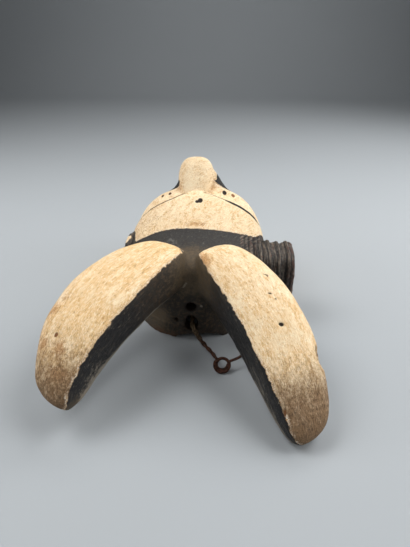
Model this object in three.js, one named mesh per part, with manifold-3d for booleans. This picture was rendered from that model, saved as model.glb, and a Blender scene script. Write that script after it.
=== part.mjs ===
// Horned face mask, carved from one block of wood, lying on its back, with a bent iron hanging wire.
// Millimetres. X is the wearer's left to right, Y runs from the horns to the chin, Z is up out of the face.
// The sizes below are given from the floor point at the front of the crown, on the mid line.
import * as THREE from "three";
import { mergeVertices } from "three/addons/utils/BufferGeometryUtils.js";
import Module from "manifold-3d";

const wasm = await Module();
wasm.setup();

// Where the middle of the whole object's box lies, measured from the crown's floor point.
const ORIGIN_X = -2;
const ORIGIN_Y = 42.1;

// Head shell.
const CROWN_Y = 0;
const CHIN_Y = 205;
const MIDDLE_Y = 96;
const HEAD_HALF_WIDTH = 69.5;
const HEAD_X = 1;
const PLAN_POWER = 2.15;
const DOME_POWER = 2.25;
const DOME_SHARE = 0.84;
const WALL_TAPER = 0.03;
const SIDE_LEAN = { share: 0.015, from: 15, to: 60 };
const BELOW_FLOOR = 6;
const GRID_X = 28;
const GRID_Y = 36;
const WALL_CROWN = 70;
const WALL_SIDE = 59;
const WALL_CHIN = 52;

// Height of the face along the mid line, as [Y, Z] stations.
const PROFILE = [
  [-10, 91],
  [15, 94],
  [46, 98],
  [70, 108],
  [88, 113],
  [104, 113.5],
  [135, 112],
  [160, 108],
  [190, 104],
  [215, 100],
];

// Brow edge: the forehead ends in a step down to the eyelids.
const BROW_SIDE = 88.5;
const BROW_PEAK = 15;
const BROW_SPREAD = 20;
const BROW_SKEW = 0.02;
const BROW_STEP = 3.6;
const BROW_LAP = 0.5;

// Side of the block that stands for everything beyond a cutting plane.
const BROW_POINTS = 24;
const BROW_REACH = 90;
const CUTTER = 600;

// Hollow back.
const WALL = 12;
const FACE_WALL = 14;
const HOLLOW_GRID_X = 16;
const HOLLOW_GRID_Y = 20;

const smooth = (a, b, x) => THREE.MathUtils.smoothstep(x, a, b);
const mix = (a, b, t) => a + (b - a) * t;
const toMicron = (v) => Math.round(v * 1000) / 1000;
const bell = (x, width) => Math.exp(-(x * x) / (width * width));

// Turns three.js geometry into a closed solid for adding and cutting.
function solidOf(geometry) {
  const plain = geometry.clone();
  plain.deleteAttribute("normal");
  plain.deleteAttribute("uv");
  const merged = mergeVertices(plain, 1e-4);
  return new wasm.Manifold(
    new wasm.Mesh({
      numProp: 3,
      vertProperties: merged.attributes.position.array,
      triVerts: new Uint32Array(merged.index.array),
    }),
  );
}

// Turns a solid back into three.js geometry.
function geometryOf(solid) {
  const mesh = solid.getMesh();
  const geometry = new THREE.BufferGeometry();
  geometry.setAttribute("position", new THREE.BufferAttribute(new Float32Array(mesh.vertProperties), 3));
  geometry.setIndex(new THREE.BufferAttribute(new Uint32Array(mesh.triVerts), 1));
  const flat = geometry.toNonIndexed();
  flat.computeVertexNormals();
  return flat;
}

// Moves every vertex of a geometry through a function of its position. Places are rounded to the micrometre,
// so that the two sides of a seam meet exactly.
function reshape(geometry, place) {
  const position = geometry.attributes.position;
  for (let i = 0; i < position.count; i += 1) {
    const [x, y, z] = place(position.getX(i), position.getY(i), position.getZ(i));
    position.setXYZ(i, toMicron(x), toMicron(y), toMicron(z));
  }
  return geometry;
}

// A smooth line through [at, value] stations.
function along(stations, at) {
  let i = 1;
  while (i < stations.length - 2 && at > stations[i + 1][0]) i += 1;
  const [p, q] = [stations[i], stations[i + 1]];
  const before = stations[i - 1];
  const after = stations[Math.min(i + 2, stations.length - 1)];
  const t = THREE.MathUtils.clamp((at - p[0]) / (q[0] - p[0]), 0, 1);
  const span = q[0] - p[0];
  const slopeP = ((q[1] - before[1]) / (q[0] - before[0])) * span;
  const slopeQ = ((after[1] - p[1]) / (after[0] - p[0])) * span;
  const t2 = t * t;
  const t3 = t2 * t;
  return (
    (2 * t3 - 3 * t2 + 1) * p[1] + (t3 - 2 * t2 + t) * slopeP + (3 * t2 - 2 * t3) * q[1] + (t3 - t2) * slopeQ
  );
}

// A squared circle: exponent 2 is round, higher is boxier.
function squared(angle, power) {
  const c = Math.cos(angle);
  const s = Math.sin(angle);
  return [Math.sign(c) * Math.abs(c) ** (2 / power), Math.sign(s) * Math.abs(s) ** (2 / power)];
}

// The head's outer surface: a square grid point becomes a disc point, then a dome on upright walls.
function headPoint(u, v, inset, lift) {
  const dx = u * Math.sqrt(1 - (v * v) / 2);
  const dy = v * Math.sqrt(1 - (u * u) / 2);
  const rho = Math.min(Math.hypot(dx, dy), 1);
  const theta = Math.atan2(dy, dx);
  const [c, s] = squared(theta, PLAN_POWER);
  const half = HEAD_HALF_WIDTH - inset;
  const length = s < 0 ? MIDDLE_Y - CROWN_Y - inset : CHIN_Y - MIDDLE_Y - inset;
  const wallEnd = s < 0 ? WALL_CROWN : WALL_CHIN;
  const wall = mix(WALL_SIDE, wallEnd, s * s) - lift;
  const down = Math.max(0, (rho - DOME_SHARE) / (1 - DOME_SHARE));
  const phi = (Math.min(rho / DOME_SHARE, 1) * Math.PI) / 2;
  const spread = Math.sin(phi) ** (2 / DOME_POWER) * (1 - WALL_TAPER * down);
  const x = HEAD_X + half * c * spread;
  const y = MIDDLE_Y + length * s * spread;
  const top = along(PROFILE, y) - lift;
  const rise = Math.max(Math.cos(phi), 0) ** (2 / DOME_POWER);
  const lean = 1 - SIDE_LEAN.share * smooth(SIDE_LEAN.from, SIDE_LEAN.to, -x);
  const z = down > 0 ? mix(wall * lean, -BELOW_FLOOR, down) : (wall + (top - wall) * rise) * lean;
  return [x, y, z, rise];
}

// Carved relief on the lower face: mirrored swellings and hollows, each a bell with its height and spread.
const RELIEF_FADE = 0.45;
const RELIEF = {
  lid: { height: 4.6, x: 40, y: 117, wide: 22, long: 13 },
  socket: { height: -4.5, x: 34, y: 137, wide: 17, long: 6 },
  noseFoot: { height: 24, x: 12, y: 134, wide: 12, long: 12 },
  muzzle: { height: 7, x: 0, y: 168, wide: 27, long: 17 },
  chin: { height: 4, x: 0, y: 190, wide: 22, long: 9 },
};

// The right side of the nose's foot stands higher than the left.
const RIGHT_FOOT = { height: 5, x: 23, y: 130, wide: 9, long: 12 };

function relief(x, y) {
  let height = -BROW_STEP;
  for (const form of Object.values(RELIEF)) {
    height += form.height * bell(Math.abs(x) - form.x, form.wide) * bell(y - form.y, form.long);
  }
  const foot = RIGHT_FOOT;
  return height + foot.height * bell(x - foot.x, foot.wide) * bell(y - foot.y, foot.long);
}

// The head's outside, either as the forehead or as the lower face behind the brow step.
function headOuter(lowerFace) {
  const block = new THREE.BoxGeometry(2, 2, 2, GRID_X, GRID_Y, 1);
  return reshape(block, (u, v, w) => {
    const [x, y, z, rise] = headPoint(u, v, 0, 0);
    if (w < 0) return [x, y, -2 * BELOW_FLOOR];
    return [x, y, lowerFace ? z + relief(x, y) * smooth(0, RELIEF_FADE, rise) : z];
  });
}

// Everything on one side of the curved brow line: sign 1 is toward the chin, -1 toward the crown.
function beyondBrow(sign, lap) {
  const outline = [];
  for (let i = 0; i <= BROW_POINTS; i += 1) {
    const x = BROW_REACH * ((2 * i) / BROW_POINTS - 1);
    const y = BROW_SIDE + BROW_PEAK * bell(x, BROW_SPREAD) + BROW_SKEW * x;
    outline.push(new THREE.Vector2(x, y - lap));
  }
  outline.push(new THREE.Vector2(BROW_REACH, sign * CUTTER));
  outline.push(new THREE.Vector2(-BROW_REACH, sign * CUTTER));
  const slab = new THREE.ExtrudeGeometry(new THREE.Shape(outline), { depth: CUTTER, bevelEnabled: false });
  return slab.translate(0, 0, -CUTTER / 2);
}

// Lips: a low oval ring on the muzzle with a sunk line between.
const LIPS = {
  y: 168,
  z: 97,
  half: 19,
  high: 6.5,
  thick: 4.2,
  squash: 0.8,
  press: 0.62,
  slope: -0.5,
  droop: 0.012,
};
const LIP_SIDES = 8;
const LIP_SEGMENTS = 28;

function lips() {
  const ring = new THREE.TorusGeometry(1, 1, LIP_SIDES, LIP_SEGMENTS);
  return reshape(ring, (x, y, z) => {
    const angle = Math.atan2(y, x);
    const out = Math.hypot(x, y) - 1;
    const across = Math.cos(angle) * (LIPS.half + out * LIPS.thick);
    const down = Math.sin(angle) * (LIPS.high + out * LIPS.thick * LIPS.squash);
    const bed = LIPS.z + LIPS.slope * down - LIPS.droop * across ** 2;
    return [across, LIPS.y + down, bed + z * LIPS.thick * LIPS.press];
  });
}

function headHollow() {
  const block = new THREE.BoxGeometry(2, 2, 2, HOLLOW_GRID_X, HOLLOW_GRID_Y, 1);
  return reshape(block, (u, v, w) => {
    const [x, y, z] = headPoint(u, v, WALL, FACE_WALL);
    return [x, y, w < 0 ? -3 * BELOW_FLOOR : z];
  });
}

// Horns: each is swept between two rails, the worn inner arris and the outer edge of its painted face.
const HORN_RINGS = 22;
const HORN_SEGMENTS = 22;
const HORN_SIDE_POWER = 3.2;
const ARRIS_SHARPNESS = 6;
const BACK_SHARPNESS = 1.6;
const CORNER_ANGLE = (Math.PI * 3) / 4;
const CORNER_SPREAD = 0.6;
const HORN_CROWN = 4;
const HORN_BLUNT = 14;
const END_ROUNDNESS = 2.4;
const RAIL_STEP = 0.02;
const TIP_FROM = 0.6;
const HORN_LEFT = {
  arris: [[9, 29, 94], [-42, -43, 97], [-82, -113, 59], [-78, -117, 19]],
  outer: [[-48, 41, 87], [-136, -52, 95], [-117, -99, 37], [-101, -106, 19]],
  thick: [[-0.2, 38], [0, 38], [0.3, 37], [0.53, 35], [0.75, 29], [1, 19], [1.2, 14]],
  slant: 0.16,
  close: 0.6,
};
const HORN_RIGHT = {
  arris: [[-6, 25, 95], [25, -22, 86], [58, -92, 52], [80, -127, 9]],
  outer: [[38, 27, 88], [95, -22, 92], [117, -74, 47], [107, -118, 7]],
  thick: [[-0.2, 38], [0, 38], [0.3, 40], [0.58, 37], [0.78, 29], [1, 15], [1.2, 10]],
  slant: 0.05,
  close: 0.25,
};

// How far a swept form has opened at a share of its length: 0 at both ends, 1 between them.
function closing(share, blunt) {
  return Math.max(1 - Math.abs(2 * share - 1) ** blunt, 0) ** (1 / END_ROUNDNESS);
}

function rail(points) {
  return new THREE.CubicBezierCurve3(...points.map((p) => new THREE.Vector3(...p)));
}

function horn(form, side) {
  const inner = rail(form.arris);
  const outer = rail(form.outer);
  const middle = (s) => inner.getPoint(s).add(outer.getPoint(s)).multiplyScalar(0.5);
  const ball = new THREE.SphereGeometry(1, HORN_SEGMENTS, HORN_RINGS);
  return reshape(ball, (x, y, z) => {
    const even = (1 - y) / 2;
    const angle = Math.atan2(z, side * x);
    const round = closing(even, HORN_BLUNT);
    const power =
      HORN_SIDE_POWER +
      ARRIS_SHARPNESS * bell(angle - CORNER_ANGLE, CORNER_SPREAD) +
      BACK_SHARPNESS * bell(angle + CORNER_ANGLE, CORNER_SPREAD);
    const [c, d] = squared(angle, power);
    const toArris = form.close * (1 - round) * smooth(TIP_FROM, 1, even);
    const wide = c * round - toArris;
    const s = even - form.slant * ((1 + wide) / 2) * smooth(TIP_FROM, 1, even);
    const tangent = middle(Math.min(s + RAIL_STEP, 1)).sub(middle(Math.max(s - RAIL_STEP, 0))).normalize();
    const across = outer.getPoint(s).sub(inner.getPoint(s));
    const half = across.length() / 2;
    across.addScaledVector(tangent, -across.dot(tangent)).normalize();
    const normal = new THREE.Vector3().crossVectors(tangent, across).multiplyScalar(side);
    const thick = along(form.thick, s);
    const depth = ((d * round - 1) * thick) / 2;
    const crown = d > 0 ? HORN_CROWN * (1 - c * c) * round : 0;
    const at = middle(s).addScaledVector(across, wide * half).addScaledVector(normal, depth + crown);
    return [at.x, at.y, at.z];
  });
}

// Nose: narrow at the brow, broad and snub at the tip.
const NOSE_START = 98;
const NOSE_END = 149;
const NOSE_X = -2.1;
const NOSE_BASE = 100;
const NOSE_SEGMENTS = 22;
const NOSE_RINGS = 16;
const NOSE_POWER = 3;
const NOSE_BLUNT = 4;
const NOSE_HALF = [[-0.2, 11.5], [0, 12.5], [0.25, 15.8], [0.5, 19.3], [0.75, 21], [1, 19.6], [1.2, 18.5]];
const NOSE_TOP = [[-0.2, 108], [0, 112], [0.25, 124], [0.5, 136.5], [0.72, 142], [1, 137], [1.2, 134]];

function nose() {
  const ball = new THREE.SphereGeometry(1, NOSE_SEGMENTS, NOSE_RINGS);
  return reshape(ball, (x, y, z) => {
    const s = (1 - y) / 2;
    const angle = Math.atan2(z, x);
    const round = closing(s, NOSE_BLUNT);
    const [c, d] = squared(angle, NOSE_POWER);
    const half = along(NOSE_HALF, s);
    const high = along(NOSE_TOP, s) - NOSE_BASE;
    return [NOSE_X - c * half * round, mix(NOSE_START, NOSE_END, s), NOSE_BASE + d * round * high];
  });
}

// Hair rolls beside the head: upright slabs with rounded front ends, set side by side.
const ROLL_SEGMENTS = 16;
const ROLL_RINGS = 8;
const ROLL_FLAT = Math.PI / 8;
const ROLL_BOX = 4;
const ROLL_BOTTOM = 10;
const ROLLS = [
  { x: 63.5, width: 6.5, top: 76, front: 26, back: 74 },
  { x: 71.5, width: 9.2, top: 77.5, front: 26, back: 76 },
  { x: 80.2, width: 9.2, top: 76.5, front: 27, back: 75 },
  { x: 90.8, width: 12.4, top: 76, front: 29, back: 77 },
  { x: -64, width: 8, top: 80, front: 44, back: 82 },
  { x: -71, width: 8, top: 66, front: 46, back: 76 },
];

function roll(form) {
  const part = new THREE.SphereGeometry(1, ROLL_SEGMENTS, ROLL_RINGS);
  const edge = form.width / 2;
  const depth = (form.back - form.front) / 2 - edge;
  const height = (form.top - ROLL_BOTTOM) / 2 - edge;
  const midY = (form.back + form.front) / 2;
  const midZ = (form.top + ROLL_BOTTOM) / 2;
  return reshape(part, (x, y, z) => {
    const polar = Math.acos(THREE.MathUtils.clamp(y, -1, 1));
    const turn = THREE.MathUtils.clamp((polar - ROLL_FLAT) / (Math.PI - 2 * ROLL_FLAT), 0, 1) * Math.PI;
    const flat = Math.min(polar, Math.PI - polar, ROLL_FLAT) / ROLL_FLAT;
    const [c, d] = squared(Math.atan2(z, -x), ROLL_BOX);
    const out = edge * Math.sin(turn);
    const across = form.x + edge * Math.cos(turn);
    return [across, midY + c * (depth * flat + out), midZ + d * (height * flat + out)];
  });
}

// Rim band: a low raised edge round the open back.
const BAND_TOP = 15;
const BAND_INSET = 0.6;
const BAND_SEGMENTS = 72;

function rimBand() {
  const outline = [];
  for (let i = 0; i < BAND_SEGMENTS; i += 1) {
    const [c, s] = squared((i / BAND_SEGMENTS) * Math.PI * 2, PLAN_POWER);
    const length = (s < 0 ? MIDDLE_Y - CROWN_Y : CHIN_Y - MIDDLE_Y) - BAND_INSET;
    outline.push(new THREE.Vector2(HEAD_X + c * (HEAD_HALF_WIDTH - BAND_INSET), MIDDLE_Y + s * length));
  }
  const depth = BAND_TOP + BELOW_FLOOR;
  const slab = new THREE.ExtrudeGeometry(new THREE.Shape(outline), { depth, bevelEnabled: false });
  return slab.translate(0, 0, -BELOW_FLOOR);
}

// Openings through the shell. A round one has its place, its radius and its heading in plan.
const HOLE_REACH = 26;
const HOLE_SIDES = 12;
const HOLES = [
  { at: [-0.5, 0, 37.5], radius: 4.6, heading: 90 },
  { at: [-15, 2, 21], radius: 2, heading: 80 },
  { at: [-25, 6, 9], radius: 2, heading: 70 },
  { at: [46, 24, 14], radius: 3.4, heading: 125 },
  { at: [-70, 110, 8], radius: 2, heading: 0 },
  { at: [71, 110, 8], radius: 2, heading: 180 },
  { at: [-55, 165, 8], radius: 2, heading: -35 },
  { at: [57, 165, 8], radius: 2, heading: 215 },
];
const ARCH = { x: 6, z: 0, half: 22.5, high: 6.4, deep: 100, sides: 28 };
const NOTCH = { x: -0.5, z: 14.5, half: 8, high: 12.5, deep: 40, sides: 16 };
const EYE = { x: 33, y: 136.5, z: 90, half: 14, high: 1.8, deep: 90, sides: 14, slant: 0.1 };

function hole(form) {
  const bore = new THREE.CylinderGeometry(form.radius, form.radius, 2 * HOLE_REACH, HOLE_SIDES);
  bore.rotateZ(THREE.MathUtils.degToRad(form.heading - 90));
  return bore.translate(...form.at);
}

function tunnel(form) {
  const bore = new THREE.CylinderGeometry(1, 1, form.deep, form.sides);
  bore.scale(form.half, 1, form.high);
  return bore.translate(form.x, 0, form.z);
}

function eyeSlit(side) {
  const slit = new THREE.CylinderGeometry(1, 1, EYE.deep, EYE.sides);
  slit.rotateX(Math.PI / 2);
  slit.scale(EYE.half, EYE.high, 1);
  slit.rotateZ(side * EYE.slant);
  return slit.translate(HEAD_X + side * EYE.x, EYE.y, EYE.z);
}

// A chip knocked out of the right horn's outer edge.
const CHIP = { at: [106.5, -68, 44], radius: 9.5, sides: 14, rings: 10 };

function chip() {
  const bite = new THREE.SphereGeometry(CHIP.radius, CHIP.sides, CHIP.rings);
  return bite.translate(...CHIP.at);
}

// Hanging wire: a stout twisted strand out of the notch, an eye, and a thinner strand back to a rim hole.
const WIRE_SIDES = 7;
const EYE_AT = [29, -40, 7.4];
const EYE_RADIUS = 5.6;
const EYE_WIRE = 1.9;
const EYE_TILT = 56;
const EYE_SEGMENTS = 20;
const WIRE_BLUNT = 16;
const STOUT = {
  points: [[-1, 21, 31], [0, 17.5, 20], [1, 3, 14.5], [12.5, -18, 10.5], [20, -29, 10.3], [24.8, -38, 10.5]],
  wide: [2.6, 1.5],
  slim: [1.9, 1.3],
  turns: 3,
  rings: 26,
};
const THIN = {
  points: [[34.1, -39, 9], [46, -32, 10.5], [56, -8, 12], [46, 24, 14], [37, 37, 14], [32, 44, 25]],
  wide: [1.3, 1.2],
  slim: [1.3, 1.2],
  turns: 0,
  rings: 18,
};

function strand(form) {
  const points = form.points.map((p) => new THREE.Vector3(...p));
  const line = new THREE.CatmullRomCurve3(points, false, "centripetal");
  const ball = new THREE.SphereGeometry(1, WIRE_SIDES, form.rings);
  return reshape(ball, (x, y, z) => {
    const s = (1 - y) / 2;
    const fine = Math.acos(THREE.MathUtils.clamp(y, -1, 1)) / Math.PI;
    const round = Math.sqrt(Math.max(1 - Math.abs(2 * fine - 1) ** WIRE_BLUNT, 0));
    const tangent = line.getTangent(fine);
    const side = new THREE.Vector3(0, 0, 1).cross(tangent).normalize();
    const up = new THREE.Vector3().crossVectors(tangent, side);
    const turn = form.turns * Math.PI * fine;
    const angle = Math.atan2(z, x);
    const a = Math.cos(angle) * mix(form.wide[0], form.wide[1], s) * round;
    const b = Math.sin(angle) * mix(form.slim[0], form.slim[1], s) * round;
    const at = line.getPoint(fine);
    at.addScaledVector(side, a * Math.cos(turn) - b * Math.sin(turn));
    at.addScaledVector(up, a * Math.sin(turn) + b * Math.cos(turn));
    return [at.x, at.y, at.z];
  });
}

function wireEye() {
  const ring = new THREE.TorusGeometry(EYE_RADIUS, EYE_WIRE, WIRE_SIDES, EYE_SEGMENTS);
  ring.rotateX(THREE.MathUtils.degToRad(EYE_TILT));
  return ring.translate(...EYE_AT);
}

// The wood: head, nose, horns and hair rolls are one carving, then hollowed and pierced.
const forehead = solidOf(headOuter(false)).subtract(solidOf(beyondBrow(1, 0)));
const lowerFace = solidOf(headOuter(true)).subtract(solidOf(beyondBrow(-1, BROW_LAP)));
let carved = forehead.add(lowerFace).add(solidOf(rimBand())).add(solidOf(nose())).add(solidOf(lips()));
carved = carved.add(solidOf(horn(HORN_LEFT, -1))).add(solidOf(horn(HORN_RIGHT, 1)));
for (const form of ROLLS) carved = carved.add(solidOf(roll(form)));
const openings = [headHollow(), tunnel(ARCH), tunnel(NOTCH), eyeSlit(1), eyeSlit(-1), chip()];
openings.push(...HOLES.map(hole));
openings.push(new THREE.BoxGeometry(CUTTER, CUTTER, CUTTER).translate(0, MIDDLE_Y, -CUTTER / 2));
for (const opening of openings) carved = carved.subtract(solidOf(opening));

const wire = solidOf(wireEye()).add(solidOf(strand(STOUT))).add(solidOf(strand(THIN)));

function part(name, solid, material) {
  const mesh = new THREE.Mesh(geometryOf(solid).translate(-ORIGIN_X, -ORIGIN_Y, 0), material);
  mesh.name = name;
  return mesh;
}

const wood = new THREE.MeshStandardMaterial({ color: 0xd9c09a, roughness: 0.85 });
const iron = new THREE.MeshStandardMaterial({ color: 0x5a3420, roughness: 0.75, metalness: 0.4 });
const group = new THREE.Group();
group.add(part("mask", carved, wood));
group.add(part("hanging_wire", wire, iron));

export default group;
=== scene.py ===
"""A carved wooden face mask with two curved horns, lying on the open rim of its hollow back.

The shapes are worked out in millimetres in the carver's own frame: x to the right across the face, y from the
crown down to the chin, z up out of the face, with 0 at the crown's edge and at the rim. They are moved into the
row's frame, in metres, when they become meshes.
"""
import sys

import logging
import math
from dataclasses import dataclass
from enum import Enum
from typing import Sequence

import bpy
import numpy as np
from bpy.types import Material, Mesh, NodeSocket, Object
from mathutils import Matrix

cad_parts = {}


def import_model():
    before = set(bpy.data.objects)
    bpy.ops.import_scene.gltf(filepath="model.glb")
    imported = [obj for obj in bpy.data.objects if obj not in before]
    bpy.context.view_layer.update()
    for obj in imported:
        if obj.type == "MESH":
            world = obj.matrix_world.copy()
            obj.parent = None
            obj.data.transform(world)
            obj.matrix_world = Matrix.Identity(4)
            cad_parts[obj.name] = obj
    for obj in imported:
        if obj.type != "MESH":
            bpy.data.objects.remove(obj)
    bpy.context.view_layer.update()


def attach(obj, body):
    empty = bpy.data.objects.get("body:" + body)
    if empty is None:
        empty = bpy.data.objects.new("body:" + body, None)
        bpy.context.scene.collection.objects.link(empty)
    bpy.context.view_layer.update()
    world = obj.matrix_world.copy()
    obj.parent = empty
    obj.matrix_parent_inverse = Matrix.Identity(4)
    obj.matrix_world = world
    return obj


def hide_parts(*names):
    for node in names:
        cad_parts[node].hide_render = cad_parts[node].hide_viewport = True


LOG = logging.getLogger("mask")
MM = 0.001
IN_MM = (1 / MM,) * 3
CARVER_ORIGIN = np.array([-2.0, 42.1, 0.0])
NO_TRIS = np.zeros((0, 3), dtype=int)

Array = np.ndarray
Point = Sequence[float]
Row = Sequence[float]
Stations = Sequence[tuple[float, float]]
Colour = tuple[float, float, float, float]


class Side(Enum):
    """The two sides of the face, as the sign of x."""

    LEFT = -1
    RIGHT = 1


# Numbers and curves


def bell(x: Array, width: float) -> Array:
    """Return a bell of height 1 at x = 0: the exponential of minus x squared over width squared."""
    return np.exp(-(x * x) / (width * width))


def smooth(low: float, high: float, x: Array) -> Array:
    """Return 0 below low, 1 above high, and 3t² - 2t³ of the share t between them."""
    t = np.clip((x - low) / (high - low), 0.0, 1.0)
    return t * t * (3.0 - 2.0 * t)


def mix(a: Array, b: Array, t: Array) -> Array:
    """Return a where t is 0, b where t is 1, and a straight blend between."""
    return a + (b - a) * t


def along(stations: Stations, at: Array) -> Array:
    """Read a smooth line through stations.

    Each span is a cubic whose end slopes are those of the straight lines between the station before and the
    station after it.

    Args:
        stations: (place, value) pairs in rising order; the first and last only give slopes.
        at: places to read.

    Returns:
        The values, the same shape as at.
    """
    table = np.asarray(stations, dtype=float)
    place, value = table[:, 0], table[:, 1]
    i = np.clip(np.searchsorted(place, at, side="left") - 1, 1, len(place) - 2)
    after = np.minimum(i + 2, len(place) - 1)
    span = place[i + 1] - place[i]
    t = np.clip((at - place[i]) / span, 0.0, 1.0)
    slope_p = (value[i + 1] - value[i - 1]) / (place[i + 1] - place[i - 1]) * span
    slope_q = (value[after] - value[i]) / (place[after] - place[i]) * span
    t2, t3 = t * t, t * t * t
    start = (2 * t3 - 3 * t2 + 1) * value[i] + (t3 - 2 * t2 + t) * slope_p
    return start + (3 * t2 - 2 * t3) * value[i + 1] + (t3 - t2) * slope_q


def squared(angle: Array, power: Array) -> tuple[Array, Array]:
    """Return the point at an angle of a squared circle: cosine and sine, each to the power 2 / power with its sign."""
    c, s = np.cos(angle), np.sin(angle)
    return np.sign(c) * np.abs(c) ** (2 / power), np.sign(s) * np.abs(s) ** (2 / power)


def closing(share: Array, blunt: float, roundness: float = 2.4) -> Array:
    """Return how far a swept form has opened at a share of its length: 0 at both ends and 1 between them.

    It is (1 - |2 share - 1| to the power blunt) to the power 1 / roundness.
    """
    return np.maximum(1 - np.abs(2 * share - 1) ** blunt, 0) ** (1 / roundness)


def unit(vectors: Array) -> Array:
    """Return the vectors at length 1."""
    return vectors / np.maximum(np.linalg.norm(vectors, axis=-1, keepdims=True), 1e-9)


def distance(points: Array, at: Point) -> Array:
    """Return each point's distance from a place."""
    return np.linalg.norm(points - np.array(at), axis=1)


def grown(points: Array, cell: float | Point, seed: int, side: int = 32) -> Array:
    """Return seeded value noise from -1 to 1: random corner values of a cubic lattice, blended smoothly.

    Args:
        points: places in millimetres, shape (n, 3).
        cell: lattice spacing in millimetres, as a number or one per axis.
        seed: the random table's seed.
        side: how many cells the table has each way before it repeats.

    Returns:
        The noise at each point.
    """
    table = np.random.default_rng(seed).uniform(-1, 1, (side, side, side))
    place = points / np.asarray(cell, dtype=float)
    low = np.floor(place).astype(int)
    t = place - low
    t = t * t * (3 - 2 * t)
    total = np.zeros(len(points))
    for corner in range(8):
        step = np.array([corner & 1, (corner >> 1) & 1, (corner >> 2) & 1])
        weight = np.prod(np.where(step == 1, t, 1 - t), axis=1)
        at = (low + step) % side
        total += weight * table[at[:, 0], at[:, 1], at[:, 2]]
    return total


def weathered(points: Array, cell: float, seed: int, layers: int = 3) -> Array:
    """Return layered value noise: each layer has half the cell and half the height of the one before."""
    return sum(grown(points, cell / 2**k, seed + k) / 2**k for k in range(layers))


# Surfaces


@dataclass
class Surface:
    """A closed surface in millimetres: its points and its four- and three-sided faces."""

    points: Array
    quads: Array
    tris: Array

    def volume(self) -> float:
        """Return the signed volume, the sum of the tetrahedra from the origin to each triangle."""
        faces = np.vstack([self.quads[:, [0, 1, 2]], self.quads[:, [0, 2, 3]], self.tris])
        a, b, c = (self.points[faces[:, k]] for k in range(3))
        return float(np.einsum("ij,ij->i", a, np.cross(b, c)).sum() / 6)

    def outward(self) -> "Surface":
        """Return the surface with its faces turned outwards."""
        if self.volume() > 0:
            return self
        return Surface(self.points, self.quads[:, ::-1], self.tris[:, ::-1])


def joined(parts: Sequence[Surface]) -> Surface:
    """Return several surfaces as one, side by side."""
    counts = np.cumsum([0] + [len(p.points) for p in parts])
    quads = [p.quads + n for p, n in zip(parts, counts)]
    tris = [p.tris + n for p, n in zip(parts, counts)]
    return Surface(np.vstack([p.points for p in parts]), np.vstack(quads), np.vstack(tris))


def between(rings: int, around: int) -> Array:
    """Return the four-sided faces between rings of points, each ring closed on itself."""
    i, j = np.meshgrid(np.arange(rings - 1) * around, np.arange(around), indexing="ij")
    k = (j + 1) % around
    return np.stack([i + j, i + k, i + around + k, i + around + j], -1).reshape(-1, 4)


def capped(rings: Array) -> Surface:
    """Close a tube of rings with a pole at each end.

    Args:
        rings: points of shape (rings, segments, 3); the first and last ring are drawn together to their middle.

    Returns:
        A closed surface with the topology of a ball.
    """
    count, around = rings.shape[0] - 2, rings.shape[1]
    body = rings[1:-1].reshape(-1, 3)
    points = np.vstack([body, rings[0].mean(0), rings[-1].mean(0)])
    turn = np.arange(around)
    after = (turn + 1) % around
    first = np.stack([np.full(around, count * around), after, turn], -1)
    base = (count - 1) * around
    last = np.stack([np.full(around, count * around + 1), base + turn, base + after], -1)
    return Surface(points, between(count, around), np.vstack([first, last])).outward()


def looped(rings: Array) -> Surface:
    """Close rings of shape (rings, segments, 3) both round and along, as a ring-shaped surface."""
    count, around = rings.shape[:2]
    return Surface(rings.reshape(-1, 3), between(count + 1, around) % (count * around), NO_TRIS).outward()


def shares(count: int) -> Array:
    """Return shares from 0 to 1 that crowd at both ends: half of 1 minus the cosine of an even turn."""
    return (1 - np.cos(np.linspace(0, np.pi, count))) / 2


def turns(count: int) -> Array:
    """Return even angles round a full turn, the last one short of the first."""
    return np.linspace(0, 2 * np.pi, count, endpoint=False)


def ellipsoid(middle: Point, radii: Point, power: float = 2.0, count: int = 40) -> Surface:
    """Return an ellipsoid, boxier as power rises above 2: two squared circles, one up and one round."""
    up, round_ = np.meshgrid(np.linspace(-np.pi / 2, np.pi / 2, count), turns(count), indexing="ij")
    cu, su = squared(up, power)
    cr, sr = squared(round_, power)
    shape = np.stack([cu * cr, cu * sr, su], -1)
    return capped(shape * np.asarray(radii) + np.asarray(middle))


def bore(middle: Point, heading: float, radius: float, reach: float, ragged: float) -> Surface:
    """Return a round bar lying in plan along a heading, to cut a hole.

    Args:
        middle: the bar's middle.
        heading: degrees from the x axis.
        radius: the bar's radius.
        reach: half the bar's length.
        ragged: how far noise moves its side in and out.

    Returns:
        The closed bar.
    """
    t, a = np.meshgrid(np.concatenate([[-1], np.linspace(-1, 1, 40), [1]]), turns(32), indexing="ij")
    r = np.full_like(t, radius)
    r[0], r[-1] = 0, 0
    raw = np.stack([t * reach, r * np.cos(a), r * np.sin(a)], -1)
    r = r * (1 + ragged * grown(raw.reshape(-1, 3), 2.5, 5).reshape(t.shape))
    h = math.radians(heading)
    ahead, beside = np.array([math.cos(h), math.sin(h), 0]), np.array([-math.sin(h), math.cos(h), 0])
    line = np.asarray(middle) + (t * reach)[..., None] * ahead
    up = (r * np.sin(a))[..., None] * np.array([0, 0, 1.0])
    return capped(line + (r * np.cos(a))[..., None] * beside + up)


# Meshes


def to_row(points: Array) -> Array:
    """Return carver's millimetres as metres in the row's frame."""
    return (points - CARVER_ORIGIN) * MM


def to_carver(points: Array) -> Array:
    """Return metres in the row's frame as carver's millimetres."""
    return points / MM + CARVER_ORIGIN


def mesh_of(name: str, surface: Surface) -> Object:
    """Return a new linked object with the surface as its mesh, in the row's frame."""
    mesh = bpy.data.meshes.new(name)
    mesh.from_pydata(to_row(surface.points).tolist(), [], surface.quads.tolist() + surface.tris.tolist())
    mesh.validate()
    piece = bpy.data.objects.new(name, mesh)
    bpy.context.scene.collection.objects.link(piece)
    return piece


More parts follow.
